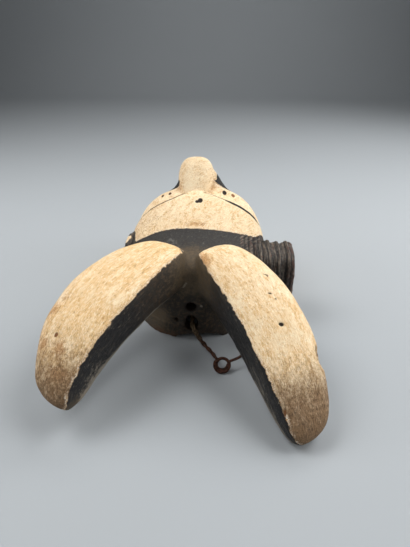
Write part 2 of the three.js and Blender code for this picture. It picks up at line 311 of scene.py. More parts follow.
def settle(piece: Object) -> None:
    """Apply the piece's modifiers to its mesh."""
    graph = bpy.context.evaluated_depsgraph_get()
    done = bpy.data.meshes.new_from_object(piece.evaluated_get(graph))
    done.name = piece.name
    piece.modifiers.clear()
    piece.data = done


def carve(piece: Object, others: Sequence[Surface], operation: str) -> None:
    """Add surfaces to a piece or cut them from it, one after another.

    Args:
        piece: the piece that changes.
        others: closed surfaces.
        operation: UNION or DIFFERENCE.
    """
    tools = []
    for k, other in enumerate(others):
        tool = mesh_of(f"tool_{operation}_{k}", other)
        step = piece.modifiers.new(f"{operation}_{k}", "BOOLEAN")
        step.operation = operation
        step.solver = "MANIFOLD"
        step.object = tool
        tools.append(tool)
    settle(piece)
    for tool in tools:
        bpy.data.objects.remove(tool, do_unlink=True)


def even_out(piece: Object, voxel: float) -> None:
    """Rebuild a piece's surface from small cubes of the voxel's size in millimetres, then ease it once."""
    again = piece.modifiers.new("even", "REMESH")
    again.mode = "VOXEL"
    again.voxel_size = voxel * MM
    again.use_smooth_shade = True
    ease = piece.modifiers.new("ease", "SMOOTH")
    ease.factor = 0.5
    ease.iterations = 1
    settle(piece)


def thin_out(piece: Object, where: Array, share: float) -> None:
    """Join small faces where they aren't seen, down to a share of all the piece's faces.

    Args:
        piece: the piece.
        where: True at the points that may go.
        share: the share of the triangles that stay.
    """
    group = piece.vertex_groups.new(name="unseen")
    group.add(np.flatnonzero(where).tolist(), 1.0, "REPLACE")
    thin = piece.modifiers.new("thin", "DECIMATE")
    thin.ratio = share
    thin.vertex_group = group.name
    settle(piece)


def points_of(mesh: Mesh) -> tuple[Array, Array]:
    """Return a mesh's points in carver's millimetres, and its vertex normals."""
    place = np.empty(len(mesh.vertices) * 3)
    normal = np.empty(len(mesh.vertices) * 3)
    mesh.vertices.foreach_get("co", place)
    mesh.vertices.foreach_get("normal", normal)
    return to_carver(place.reshape(-1, 3)), normal.reshape(-1, 3)


def curvature(mesh: Mesh, points: Array, normals: Array, rounds: int) -> Array:
    """Return how far each point stands out of its neighbours' mean, along its normal, spread over some rounds."""
    ends = np.empty(len(mesh.edges) * 2, dtype=np.int32)
    mesh.edges.foreach_get("vertices", ends)
    a, b = ends.reshape(-1, 2).T
    count = len(points)
    degree = np.maximum(np.bincount(a, minlength=count) + np.bincount(b, minlength=count), 1)

    def mean(values: Array) -> Array:
        """Return each point's mean over its neighbours."""
        return (np.bincount(a, values[b], count) + np.bincount(b, values[a], count)) / degree

    around = np.stack([mean(points[:, k]) for k in range(3)], -1)
    out = np.einsum("ij,ij->i", points - around, normals)
    for _ in range(rounds):
        out = (out + mean(out)) / 2
    return out


class Fields(dict):
    """Values per point by name: numbers, vectors, or True and False."""

    def lay(self, where: Array, **values: Array | float) -> None:
        """Set some of the fields at the points where where is True."""
        for name, value in values.items():
            chosen = where[:, None] if self[name].ndim > 1 else where
            self[name] = np.where(chosen, value, self[name])


def dress(mesh: Mesh, points: Array, fields: Fields, material: Material) -> None:
    """Finish a mesh.

    Args:
        mesh: the mesh.
        points: where its points go, in carver's millimetres.
        fields: what its material reads; fields of True and False aren't kept.
        material: its one material.
    """
    mesh.vertices.foreach_set("co", to_row(points).ravel())
    mesh.update()
    for name, values in fields.items():
        if values.dtype != bool:
            kind, part = ("FLOAT_VECTOR", "vector") if values.ndim > 1 else ("FLOAT", "value")
            kept = mesh.attributes.new(name, kind, "POINT")
            kept.data.foreach_set(part, values.astype(np.float32).ravel())
    mesh.materials.clear()
    mesh.materials.append(material)


# The carving's parts


@dataclass
class Head:
    """The head: a dome on upright walls, with a step at the brow, hollow behind."""

    x: float = 1.0
    crown_y: float = 0.0
    middle_y: float = 96.0
    chin_y: float = 205.0
    half_width: float = 69.5
    plan_power: float = 2.15
    dome_power: float = 2.25
    dome_share: float = 0.84
    wall_taper: float = 0.03
    wall_crown: float = 70.0
    wall_side: float = 59.0
    wall_chin: float = 52.0
    below: float = 6.0
    lean: float = 0.015
    wall: float = 12.0
    face_wall: float = 14.0
    profile: Stations = (
        (-10, 91), (15, 94), (46, 98), (70, 108), (88, 113), (104, 113.5), (135, 112), (160, 108), (190, 104),
        (215, 100),
    )
    brow_side: float = 88.5
    brow_peak: float = 15.0
    brow_spread: float = 20.0
    brow_skew: float = 0.02
    brow_step: float = 3.6
    fade: float = 0.45
    forms: Sequence[Row] = (
        (4.6, 40, 117, 22, 13), (-4.5, 34, 137, 17, 6), (24, 12, 134, 12, 12), (7, 0, 168, 27, 17), (4, 0, 190, 22, 9),
    )
    right_foot: Row = (5, 23, 130, 9, 12)
    hairline_stations: Stations = (
        (-90, 100), (-71, 84), (-66, 70), (-58, 55), (-46.8, 49.7), (-42.8, 49.6), (-27.8, 48.8), (5.7, 47.4),
        (34.1, 48.7), (48.8, 53.2), (59.2, 60.2), (68.1, 78.1), (90, 100),
    )

    def brow(self, x: Array) -> Array:
        """Return y of the brow line: level over the nose, and falling in a bell toward the horns at the sides."""
        return self.brow_side + self.brow_peak * bell(x, self.brow_spread) + self.brow_skew * x

    def hairline(self, x: Array) -> Array:
        """Return y of the hair band's edge across the forehead."""
        return along(self.hairline_stations, x)

    def spans(self, s: Array, inset: float) -> Array:
        """Return the half length toward the crown or the chin, by the sign of s."""
        return np.where(s < 0, self.middle_y - self.crown_y, self.chin_y - self.middle_y) - inset

    def walls(self, s: Array) -> Array:
        """Return the upright wall's height, from the sides to the crown or the chin as s squared goes from 0 to 1."""
        return mix(self.wall_side, np.where(s < 0, self.wall_crown, self.wall_chin), s * s)

    def leaning(self, x: Array) -> Array:
        """Return the share of its height that each place keeps: the head is a little lower on the left."""
        return 1 - self.lean * smooth(15, 60, -x)

    def lower_relief(self, x: Array, y: Array) -> Array:
        """Return the height added below the brow: the step, and a bell for each swelling or hollow."""
        height = np.full_like(x, -self.brow_step)
        for high, at_x, at_y, wide, long in self.forms:
            height += high * bell(np.abs(x) - at_x, wide) * bell(y - at_y, long)
        high, at_x, at_y, wide, long = self.right_foot
        return height + high * bell(x - at_x, wide) * bell(y - at_y, long)

    def shell(self, inset: float, lift: float, face: bool, rings: int = 230, around: int = 320) -> Surface:
        """Return the head's outside, or its inside by an inset.

        A point of the unit disc goes out along a squared circle. Up to the dome's share it rises as a superellipse
        of the profile over the walls, and past it goes straight down the walls.

        Args:
            inset: how far the walls stand in.
            lift: how far the top stands in.
            face: True adds the brow step and the lower face's relief.
            rings: rings from the top to the rim.
            around: points in a ring.

        Returns:
            The surface, closed below.
        """
        rho, theta = np.meshgrid(np.linspace(0, 1, rings), turns(around), indexing="ij")
        c, s = squared(theta, self.plan_power)
        down = np.maximum(0, (rho - self.dome_share) / (1 - self.dome_share))
        phi = np.minimum(rho / self.dome_share, 1) * np.pi / 2
        spread = np.sin(phi) ** (2 / self.dome_power) * (1 - self.wall_taper * down)
        x = self.x + (self.half_width - inset) * c * spread
        y = self.middle_y + self.spans(s, inset) * s * spread
        walls, top = self.walls(s) - lift, along(self.profile, y) - lift
        rise = np.maximum(np.cos(phi), 0) ** (2 / self.dome_power)
        lean = self.leaning(x)
        z = np.where(down > 0, mix(walls * lean, -self.below, down), (walls + (top - walls) * rise) * lean)
        if face:
            step = smooth(-0.5, 0.9, y - self.brow(x))
            z = z + step * self.lower_relief(x, y) * smooth(0, self.fade, rise)
        rows = np.stack([x, y, z], -1)
        foot = np.broadcast_to(np.array([self.x, self.middle_y, -3 * self.below]), rows[:1].shape)
        return capped(np.concatenate([rows, foot]))

    def plan(self, x: Array, y: Array, inset: float = 0.0) -> tuple[Array, Array]:
        """Return how far out a place lies in plan, 1 at the outline, and its share toward the crown or the chin."""
        u = (x - self.x) / (self.half_width - inset)
        v = (y - self.middle_y) / self.spans(y - self.middle_y, inset)
        r = (np.abs(u) ** self.plan_power + np.abs(v) ** self.plan_power) ** (1 / self.plan_power)
        return r, v / np.maximum(r, 1e-6)

    def height(self, x: Array, y: Array) -> Array:
        """Return the forehead's height over a place, and a deep negative height outside the outline."""
        r, s = self.plan(x, y)
        walls = self.walls(s)
        rise = np.maximum(1 - np.minimum(r, 1) ** self.dome_power, 0) ** (1 / self.dome_power)
        full = (walls + (along(self.profile, y) - walls) * rise) * self.leaning(x)
        return np.where(r > 1.002, -100.0, full)

    def rim_band(self, top: float = 15.0, inset: float = 0.6, deep: float = 7.0) -> Surface:
        """Return the low raised edge round the open back: a flat band's section carried round the outline."""
        section = np.array([(0, -8), (0, 4), (0, top - 1.2), (0.5, top - 0.3), (1.4, top), (deep, top), (deep, -8)])
        c, s = squared(turns(360), self.plan_power)
        rings = []
        for back, z in section:
            x = self.x + c * (self.half_width - inset - back)
            y = self.middle_y + s * self.spans(s, inset + back)
            rings.append(np.stack([x, y, np.full_like(c, z)], -1))
        return looped(np.stack(rings))


@dataclass
class Nose:
    """The nose: narrow at the brow, broad and snub at the tip."""

    start: float = 98.0
    end: float = 149.0
    x: float = -2.1
    base: float = 100.0
    power: float = 3.0
    half: Stations = ((-0.2, 11.5), (0, 12.5), (0.25, 15.8), (0.5, 19.3), (0.75, 21), (1, 19.6), (1.2, 18.5))
    top: Stations = ((-0.2, 108), (0, 112), (0.25, 124), (0.5, 136.5), (0.72, 142), (1, 137), (1.2, 134))

    def surface(self) -> Surface:
        """Return squared circles along y, as wide and high as the stations say, closing at both ends."""
        s, angle = np.meshgrid(shares(120), turns(120), indexing="ij")
        round_ = closing(s, 4)
        c, d = squared(angle, self.power)
        high = along(self.top, s) - self.base
        x = self.x - c * along(self.half, s) * round_
        return capped(np.stack([x, mix(self.start, self.end, s), self.base + d * round_ * high], -1))


@dataclass
class Lips:
    """The lips: a low oval ring on the muzzle."""

    y: float = 168.0
    z: float = 97.0
    half: float = 19.0
    high: float = 6.5
    thick: float = 4.2
    squash: float = 0.8
    press: float = 0.62
    slope: float = -0.5
    droop: float = 0.012

    def surface(self) -> Surface:
        """Return a ring pressed to an oval, sloping down the muzzle and drooping with the square of x."""
        angle, around = np.meshgrid(turns(160), turns(32), indexing="ij")
        out = np.cos(around)
        across = np.cos(angle) * (self.half + out * self.thick)
        down = np.sin(angle) * (self.high + out * self.thick * self.squash)
        bed = self.z + self.slope * down - self.droop * across**2
        return looped(np.stack([across, self.y + down, bed + np.sin(around) * self.thick * self.press], -1))


@dataclass
class Horn:
    """A horn swept between two rails: the worn inner arris, and the outer edge of its painted face."""

    side: Side
    arris: Sequence[Point]
    outer: Sequence[Point]
    thick: Stations
    slant: float
    close: float
    dirty: tuple[float, float, float]
    stained: float
    lap: float
    side_power: float = 3.2
    arris_sharpness: float = 6.0
    back_sharpness: float = 1.6
    corner: float = 3 * math.pi / 4
    corner_spread: float = 0.6
    crown: float = 4.0
    blunt: float = 14.0
    tip_from: float = 0.6
    stations: int = 180
    batch: int = 20000

    @staticmethod
    def rail(points: Sequence[Point], s: Array) -> Array:
        """Return a cubic Bezier curve's points at shares s."""
        p = np.asarray(points, dtype=float)
        s = s[..., None]
        r = 1 - s
        return r**3 * p[0] + 3 * r**2 * s * p[1] + 3 * r * s**2 * p[2] + s**3 * p[3]

    def middle(self, s: Array) -> Array:
        """Return the line halfway between the rails."""
        return (self.rail(self.arris, s) + self.rail(self.outer, s)) / 2

    def frames(self, s: Array) -> tuple[Array, Array, Array, Array, Array]:
        """Return the middle, half width, tangent, across and normal directions at shares s."""
        tangent = unit(self.middle(np.minimum(s + 0.02, 1)) - self.middle(np.maximum(s - 0.02, 0)))
        across = self.rail(self.outer, s) - self.rail(self.arris, s)
        half = np.linalg.norm(across, axis=-1) / 2
        across = unit(across - np.sum(across * tangent, -1, keepdims=True) * tangent)
        normal = np.cross(tangent, across) * self.side.value
        return self.middle(s), half, tangent, across, normal

    def surface(self) -> Surface:
        """Return squared sections carried along the middle line.

        The section's corner on the arris is sharper than the rest. The face is crowned by one minus the square of
        the place across. Near the tip the section slants, and closes toward the arris.
        """
        even, turn = np.meshgrid(shares(230), turns(260), indexing="ij")
        angle = np.arctan2(np.sin(turn), np.cos(turn))
        round_ = closing(even, self.blunt)
        power = self.side_power + self.arris_sharpness * bell(angle - self.corner, self.corner_spread)
        power = power + self.back_sharpness * bell(angle + self.corner, self.corner_spread)
        c, d = squared(angle, power)
        tip = smooth(self.tip_from, 1, even)
        wide = c * round_ - self.close * (1 - round_) * tip
        s = even - self.slant * ((1 + wide) / 2) * tip
        middle, half, _, across, normal = self.frames(s)
        depth = (d * round_ - 1) * along(self.thick, s) / 2
        crown = np.where(d > 0, self.crown * (1 - c * c) * round_, 0)
        return capped(middle + across * (wide * half)[..., None] + normal * (depth + crown)[..., None])

    def locate(self, points: Array) -> tuple[Array, Array, Array, Array, Array]:
        """Find where points lie along and across the horn.

        Args:
            points: places in carver's millimetres.

        Returns:
            The share along, the place across from -1 at the arris to 1, half the width in millimetres, the depth
            below the painted face in millimetres, and the distance out of the section's plane.
        """
        stations = np.linspace(0, 1, self.stations)
        middle, half, tangent, across, normal = self.frames(stations)
        nearest = np.empty(len(points), dtype=int)
        for start in range(0, len(points), self.batch):
            block = points[start : start + self.batch]
            gap = (block**2).sum(1)[:, None] - 2 * block @ middle.T + (middle**2).sum(1)[None]
            nearest[start : start + self.batch] = gap.argmin(1)
        off = points - middle[nearest]
        a = np.sum(off * across[nearest], 1) / half[nearest]
        out = np.sum(off * normal[nearest], 1)
        depth = self.crown * np.maximum(1 - a * a, 0) - out
        ahead = np.abs(np.sum(off * tangent[nearest], 1))
        return stations[nearest], a, half[nearest], depth, ahead

    def paint(self, fields: Fields, points: Array, above: Array, outside: Array) -> None:
        """Lay the horn's finishes: cream on its face, soot beside it, dirt toward the tip, wear along the edges,
        and a painted sheen low on its sides toward the tip.

        Args:
            fields: the carving's fields, which change.
            points: the surface's points.
            above: how far they are above the head.
            outside: True where they aren't in the hollow.
        """
        s, a, half, depth, ahead = self.locate(points)
        thick = along(self.thick, s)
        near = (np.abs(a) < 1.25) & (depth > -6) & (depth < thick * 1.2) & (ahead < 8) & (above > 0.5) & outside
        # The cream stops in a ragged line at the arris or a lap short of it, and at most 13 mm down the sides.
        ragged = 0.9 * grown(points, 4.5, 71) + 1.0 * grown(points, 1.9, 72)
        over = np.minimum((a + 1) * half - depth + ragged, 13 - depth + ragged) + 0.3
        over = over - self.lap * smooth(0.12, 0.4, s) * smooth(1.0, 0.75, s)
        start, full, strength = self.dirty
        dirt = smooth(start, full, s) * strength + 0.35 * smooth(0.86, 1.0, s)
        flank = np.maximum(smooth(0.4, 0.9, a) * smooth(6, 14, depth), 0.85 * smooth(0.42, 0.2, s))
        edges = 0.55 * bell(half * (1 - a), 7) + 0.4 * bell(half * (1 + a), 4)
        low_edge = bell(depth - thick + 4.5, 3.2) * smooth(0.4, -0.3, a) * smooth(0.05, 0.25, s)
        # Painted sheen: a lighter grey low on the sides toward the tip, standing for a reflection.
        sheen = 0.55 * smooth(0.35, 0.75, s) * smooth(7, 14, depth + 1.5 * grown(points, 9, 73))
        fields.lay(
            near,
            horny=True,
            cream=np.minimum(over, (above - 0.8) * 1.2),
            dirt=dirt + 0.2 * smooth(4, 13, depth) * smooth(0, 0.7, a),
            band=0.0,
            soot=np.maximum(flank, smooth(thick - 9, thick - 3, depth)),
            brown=0.2 * smooth(0.85, 1, s) + 0.12,
            stain=edges + self.stained,
            rubbed=1.1 * low_edge + sheen,
            grain=np.stack([s * 160, a * half, depth], -1),
        )


@dataclass
class HairRolls:
    """The ribbed hair beside the head: upright slabs with rounded edges, side by side."""

    rolls: Sequence[Row] = (
        (63.5, 6.5, 76, 26, 74), (71.5, 9.2, 77.5, 26, 76), (80.2, 9.2, 76.5, 27, 75), (90.8, 12.4, 76, 29, 77),
        (-64, 8, 80, 44, 82), (-71, 8, 66, 46, 76),
    )
    box: float = 4.0
    bottom: float = 10.0
    flat: float = math.pi / 8

    def surfaces(self) -> list[Surface]:
        """Return each roll: a squared outline in y and z, opening from a flat side through a half-round edge."""
        made = []
        polar, turn = np.meshgrid(np.linspace(0, np.pi, 60), turns(140), indexing="ij")
        share = np.clip((polar - self.flat) / (np.pi - 2 * self.flat), 0, 1) * np.pi
        opened = np.minimum(np.minimum(polar, np.pi - polar), self.flat) / self.flat
        c, d = squared(turn, self.box)
        for x, width, top, front, back in self.rolls:
            edge = width / 2
            out = edge * np.sin(share)
            y = (back + front) / 2 + c * (((back - front) / 2 - edge) * opened + out)
            z = (top + self.bottom) / 2 + d * (((top - self.bottom) / 2 - edge) * opened + out)
            made.append(capped(np.stack([x + edge * np.cos(share), y, z], -1)))
        return made


@dataclass
class Openings:
    """The holes through the shell, the eye slits, the broken rim at the crown, and the chip in the right horn.

    A hole has its place, radius and heading. A tunnel has its x and z, half width and height, power, half length
    and seed; they are the arch under the crown, the notch for the wire and the slot behind it.
    """

    holes: Sequence[Row] = (
        (-0.5, 0, 37.5, 4.6, 90), (-15, 2, 21, 2, 80), (-25, 6, 9, 2, 70), (46, 24, 14, 3.4, 125), (-70, 110, 8, 2, 0),
        (71, 110, 8, 2, 180), (-55, 165, 8, 2, -35), (57, 165, 8, 2, 215),
    )
    tunnels: Sequence[Row] = (
        (6.0, 0, 22.5, 6.4, 2.0, 50, 21), (-0.5, 19.0, 5.8, 7.6, 2.3, 20, 23), (2.6, 8.0, 1.5, 8.0, 2.3, 20, 24),
    )
    eye: Row = (33.0, 136.5, 14.0, 1.8, 0.1)
    chip_at: Point = (106.5, -68.0, 44.0)
    chip_radius: float = 9.5
    hole_reach: float = 26.0
    hole_ragged: float = 0.08
    ragged: float = 0.09
    ragged_cell: float = 6.0

    def chipped(self, points: Array) -> Array:
        """Return True for the points on the chip."""
        return distance(points, self.chip_at) < self.chip_radius + 1.0

    def tunnel(self, x: float, z: float, half: float, high: float, power: float, reach: float, seed: int) -> Surface:
        """Return a squared bar along y with a ragged side: the section's radius is moved by noise along the bar."""
        t, a = np.meshgrid(np.concatenate([[-1], np.linspace(-1, 1, 70), [1]]), turns(90), indexing="ij")
        c, s = squared(a, power)
        raw = np.stack([c * half, t * reach, s * high], -1).reshape(-1, 3)
        rag = 1 + self.ragged * weathered(raw, self.ragged_cell, seed).reshape(t.shape)
        rag[0], rag[-1] = 0, 0
        return capped(np.stack([x + c * half * rag, t * reach, z + s * high * rag], -1))

    def eye_slit(self, side: Side, head_x: float) -> Surface:
        """Return one eye slit: an upright oval bar, turned a little in plan."""
        x, y, half, high, slant = self.eye
        t, a = np.meshgrid(np.array([40, 40, 60, 80, 100, 130, 130.0]), turns(60), indexing="ij")
        open_ = np.ones_like(t)
        open_[0], open_[-1] = 0, 0
        u, v = np.cos(a) * half * open_, np.sin(a) * high * open_
        turn = side.value * slant
        px = head_x + side.value * x + u * math.cos(turn) - v * math.sin(turn)
        return capped(np.stack([px, y + u * math.sin(turn) + v * math.cos(turn), t], -1))

    def surfaces(self, head: Head) -> list[Surface]:
        """Return every cutting surface, in the order they are cut; the last takes off all that is under the rim."""
        hollow = head.shell(head.wall, head.face_wall, False, 120, 200)
        slits = joined([self.eye_slit(side, head.x) for side in Side])
        reach, rag = self.hole_reach, self.hole_ragged
        holes = joined([bore((x, y, z), turn, radius, reach, rag) for x, y, z, radius, turn in self.holes])
        chip = ellipsoid(self.chip_at, (self.chip_radius,) * 3, 2.3)
        ground = ellipsoid((0, head.middle_y, -200), (400, 400, 200), 60, 60)
        return [hollow, *(self.tunnel(*row) for row in self.tunnels), slits, holes, chip, ground]


# Finishes


def srgb(*steps: float) -> Colour:
    """Return a colour of three steps from 0 to 255 as linear light."""
    channels = (v / 255 for v in steps)
    return (*(v / 12.92 if v <= 0.04045 else ((v + 0.055) / 1.055) ** 2.4 for v in channels), 1.0)


@dataclass(frozen=True)
class Value:
    """A number, vector or colour inside a material. Arithmetic on it adds nodes."""

    graph: "Graph"
    socket: NodeSocket

    def math(self, what: str, other: "Value | float" = 0.0) -> "Value":
        """Return a plain operation on this number and another."""
        return self.graph.node("ShaderNodeMath", {0: self, 1: other}, operation=what)

    def __add__(self, other: "Value | float") -> "Value":
        """Return the sum."""
        return self.math("ADD", other)

    def __sub__(self, other: "Value | float") -> "Value":
        """Return the difference."""
        return self.math("SUBTRACT", other)

    def __mul__(self, other: "Value | float") -> "Value":
        """Return the product."""
        return self.math("MULTIPLY", other)

    def about(self, gain: float, middle: float = 0.5) -> "Value":
        """Return how far a noise is from its middle, times a gain."""
        return (self - middle) * gain

    def step(self, low: float, high: float, start: float = 0, end: float = 1) -> "Value":
        """Return start below low and end above high, with a smooth ramp between."""
        inputs = {"Value": self, "From Min": low, "From Max": high, "To Min": start, "To Max": end}
        return self.graph.node("ShaderNodeMapRange", inputs, interpolation_type="SMOOTHSTEP")


class Graph:
    """A short hand for building one material's nodes."""

    def __init__(self, name: str) -> None:
        """Start a material of this name with an empty tree."""
        self.material = bpy.data.materials.new(name)
        self.material.use_nodes = True
        self.tree = self.material.node_tree
        self.tree.nodes.clear()

    def node(self, kind: str, inputs: dict, output: str | int = 0, **settings) -> Value:
        """Add a node.

        Args:
            kind: the node's type.
            inputs: plain or computed values by input name or number.
            output: the name or number of the output to use.
            settings: the node's own options.

        Returns:
            The output's value.
        """
        made = self.tree.nodes.new(kind)
        for key, value in settings.items():
            setattr(made, key, value)
        for key, value in inputs.items():
            if isinstance(value, Value):
                self.tree.links.new(value.socket, made.inputs[key])
            else:
                made.inputs[key].default_value = value
        return Value(self, made.outputs[output])

    def attribute(self, name: str, output: str = "Fac") -> Value:
        """Return a number, or as Vector a vector, kept on the mesh."""
        return self.node("ShaderNodeAttribute", {}, output, attribute_name=name)

    def place(self, stretch: Point = (1, 1, 1), source: Value | None = None) -> Value:
        """Return object coordinates, or another vector, with each axis multiplied."""
        source = source or self.node("ShaderNodeTexCoord", {}, "Object")
        return self.node("ShaderNodeMapping", {"Vector": source, "Scale": stretch})

    def noise(self, at: Value, scale: float, detail: float, rough: float) -> Value:
        """Return noise from about 0 to 1."""
        return self.node("ShaderNodeTexNoise", {"Vector": at, "Scale": scale, "Detail": detail, "Roughness": rough})

    def blend(self, a: Value | Colour, b: Value | Colour, share: Value) -> Value:
        """Return colour a where share is 0 and colour b where it is 1."""
        return self.node("ShaderNodeMix", {0: share, 6: a, 7: b}, 2, data_type="RGBA")

    def coats(self, ground: Value | Colour, *coats: tuple[Value | Colour, Value]) -> Value:
        """Return a ground colour under coats, each a colour and how far it covers what is below it."""
        for colour, share in coats:
            ground = self.blend(ground, colour, share)
        return ground

    def finish(
        self, color: Value, rough: Value | float, height: Value, depth: float, specular: float, metal: float = 0.0
    ) -> Material:
        """Close the material with its shader.

        Args:
            color: base colour.
            rough: roughness.
            height: bump height from 0 to 1.
            depth: what a height of 1 stands for, in metres.
            specular: how strongly it reflects head on.
            metal: how metallic it is.

        Returns:
            The material.
        """
        normal = self.node("ShaderNodeBump", {"Height": height, "Distance": depth, "Strength": 1.0})
        inputs = {"Base Color": color, "Roughness": rough, "Normal": normal}
        inputs.update({"Specular IOR Level": specular, "Metallic": metal})
        shader = self.node("ShaderNodeBsdfPrincipled", inputs)
        output = self.tree.nodes.new("ShaderNodeOutputMaterial")
        self.tree.links.new(shader.socket, output.inputs["Surface"])
        return self.material


@dataclass(frozen=True)
class PaintedWood:
    """Chalky cream paint on wood, with black and blue-grey paint, soot, dirt, worn places and small marks, and with
    painted shade in creases, furrows and bores, painted highlights on convex edges and a painted sheen.
    """

    cream: Colour = srgb(243, 219, 181)
    light: Colour = srgb(250, 233, 201)
    pale: Colour = srgb(255, 247, 228)
    tan: Colour = srgb(222, 190, 146)
    gold: Colour = srgb(226, 182, 118)
    orange: Colour = srgb(198, 148, 92)
    rust_brown: Colour = srgb(140, 94, 58)
    dirt: Colour = srgb(138, 108, 78)
    # Dark dirt, and painted shade in concave creases.
    dark_dirt_and_crease_shade: Colour = srgb(80, 63, 48)
    black: Colour = srgb(30, 29, 30)
    # Worn black paint, and painted highlights on convex edges.
    black_worn_and_highlit: Colour = srgb(74, 67, 59)
    # Scratches and rubbed places, and a painted sheen.
    bloom_and_sheen: Colour = srgb(158, 148, 132)
    dark_brown: Colour = srgb(98, 70, 50)
    band: Colour = srgb(49, 47, 45)
    chalk: Colour = srgb(106, 106, 102)
    soot: Colour = srgb(46, 40, 32)
    soot_brown: Colour = srgb(82, 66, 51)
    dust: Colour = srgb(112, 96, 74)
    hair: Colour = srgb(44, 41, 38)
    # Worn hair paint, and painted highlights on the rolls' edges.
    hair_worn_and_highlit: Colour = srgb(128, 117, 104)
    hair_red: Colour = srgb(98, 64, 54)
    wood: Colour = srgb(156, 120, 84)
    wood_dark: Colour = srgb(104, 76, 54)
    inside: Colour = srgb(74, 58, 44)
    # Small dark marks, and painted shade inside the bores.
    mark: Colour = srgb(40, 31, 25)
    line_brown: Colour = srgb(112, 82, 54)
    bump: float = 0.0009
    specular: float = 0.32

    def brow_lines(self, g: Graph, head: Head, at: Value, wander: Value) -> tuple[Value, Value]:
        """Draw the painted lines along the brow, from the brow line's own curve.

        Args:
            g: the material's graph.
            head: the head, for its brow line.
            at: object coordinates in millimetres.
            wander: how far the hand strayed, in millimetres.

        Returns:
            The shares of the thin brown line on both sides, and of the broad black line on the right.
        """
        x, y, z = (g.node("ShaderNodeSeparateXYZ", {"Vector": at}, axis) for axis in "XYZ")
        x, y = x + float(CARVER_ORIGIN[0]), y + float(CARVER_ORIGIN[1])
        peak = (x * x * (-1 / head.brow_spread**2)).math("EXPONENT") * head.brow_peak
        off = y + wander - (peak + x * head.brow_skew + head.brow_side)
        wide = x.step(-8, -12) * x.step(-68, -44) * 2.0 + x.step(4, 8) * x.step(44, 32) * 1.3
        thin = ((off + 1.9).math("ABSOLUTE") - wide).step(0.3, -0.6)
        half = x.step(24, 40, 0, 3.0) * x.step(68, 58)
        broad = ((off + 3.2).math("ABSOLUTE") - half).step(0.2, -0.6)
        high = z.step(70, 76)
        return thin * wide.step(0.2, 0.8) * high, broad * half.step(0.2, 0.8) * high

    def material(self, head: Head) -> Material:
        """Return the material, which reads the carving's fields and lays its coats in the order they lie."""
        g = Graph("painted_wood")
        at, grain, field = g.place(IN_MM), g.attribute("grain", "Vector"), g.attribute

        def drawn_out(length: float, *noise: float, lift: float = 1.0) -> Value:
            """Return noise drawn out along the grain."""
            return g.noise(g.place((length, 1.0, lift), grain), *noise)

        fibre, fleck = drawn_out(0.18, 0.8, 4, 0.65), drawn_out(0.34, 1.15, 4, 0.7)
        blotch, scuff = drawn_out(0.5, 0.16, 5, 0.7), drawn_out(0.22, 0.35, 5, 0.7)
        scratch = drawn_out(0.1, 0.9, 3, 0.65).step(0.58, 0.66)
        strand = drawn_out(0.12, 0.75, 3, 0.7, lift=0.3)
        patch, small = g.noise(at, 0.05, 4, 0.6), g.noise(at, 0.35, 4, 0.65)
        grit, fine = g.noise(at, 1.3, 3, 0.75), g.noise(at, 1.6, 3, 0.6)
        speck = fleck + grit * 0.5 + 0.05
        edge, brown = field("edge"), field("brown")

        stain = (field("stain") + small.about(1.1) + speck.about(0.8, 0.8)).step(0.3, 0.9)
        # Convex edges are lighter: worn paint and a painted highlight.
        worn = (edge + small.about(1.3)).step(0.45, 0.8)
        soiled = field("dirt") + small.about(1.0) + speck.about(0.8, 0.8) + blotch.about(0.9)
        ragged = field("cream") + small.about(2.6) + grit.about(3.2)
        # A pale lip just inside the cream's edge: the paint's worn edge and a painted highlight along the arris.
        lip_and_highlight = ragged.step(2.6, 0.4) * blotch.step(0.4, 0.56) * 0.8
        paint = g.coats(
            self.cream,
            (self.tan, fibre.step(0.62, 0.38) * 0.5),
            (self.light, patch.step(0.45, 0.7) * 0.6),
            (self.gold, (field("gold") + blotch.about(2.2) + fleck.about(0.9)).step(0.1, 0.9) * 0.75),
            (self.orange, (speck + blotch.about(0.5)).step(0.84, 1.02) * 0.7),
            (self.pale, speck.step(0.77, 0.6) * 0.7),
            (self.rust_brown, (grit + small * 0.3).step(0.76, 0.86) * 0.8),
            # Stains, and painted shade along the nose's sides.
            (g.blend(self.orange, self.rust_brown, grit.step(0.45, 0.65)), stain * 0.85),
            (g.blend(self.pale, self.orange, grit.step(0.4, 0.6)), worn * 0.45),
            (g.blend(self.dirt, self.dark_dirt_and_crease_shade, speck.step(0.66, 1.0)), soiled.step(-0.05, 1.1) * 0.95),
            (g.blend(self.pale, self.orange, grit.step(0.44, 0.56)), lip_and_highlight),
        )

        black = g.coats(
            self.black,
            (self.black_worn_and_highlit, scuff.step(0.5, 0.72) * 0.8),
            (self.black_worn_and_highlit, (fleck + edge * 0.35).step(0.62, 0.8) * 0.6),
            (self.bloom_and_sheen, scratch * small.step(0.45, 0.65) * 0.6),
        )
        band = g.coats(
            self.band,
            (self.chalk, (small + field("chalk")).step(0.6, 0.85) * 0.7),
            (self.chalk, scratch * small.step(0.4, 0.6) * 0.7),
            (self.chalk, fleck.step(0.6, 0.74) * 0.5),
            (self.black, speck.step(0.78, 0.66) * 0.6),
        )
        soot = g.blend(self.soot, self.soot_brown, (small + fleck * 0.3).step(0.6, 0.85))
        hair = g.coats(
            self.hair,
            (self.hair_worn_and_highlit, (strand + edge * 0.3).step(0.42, 0.68)),
            (self.hair_red, (small + brown + fleck * 0.3).step(0.72, 0.95) * 0.7),
        )
        dusty = (field("dusty") + small.about(0.9) + speck.about(0.6, 0.8)).step(0.1, 1.0)
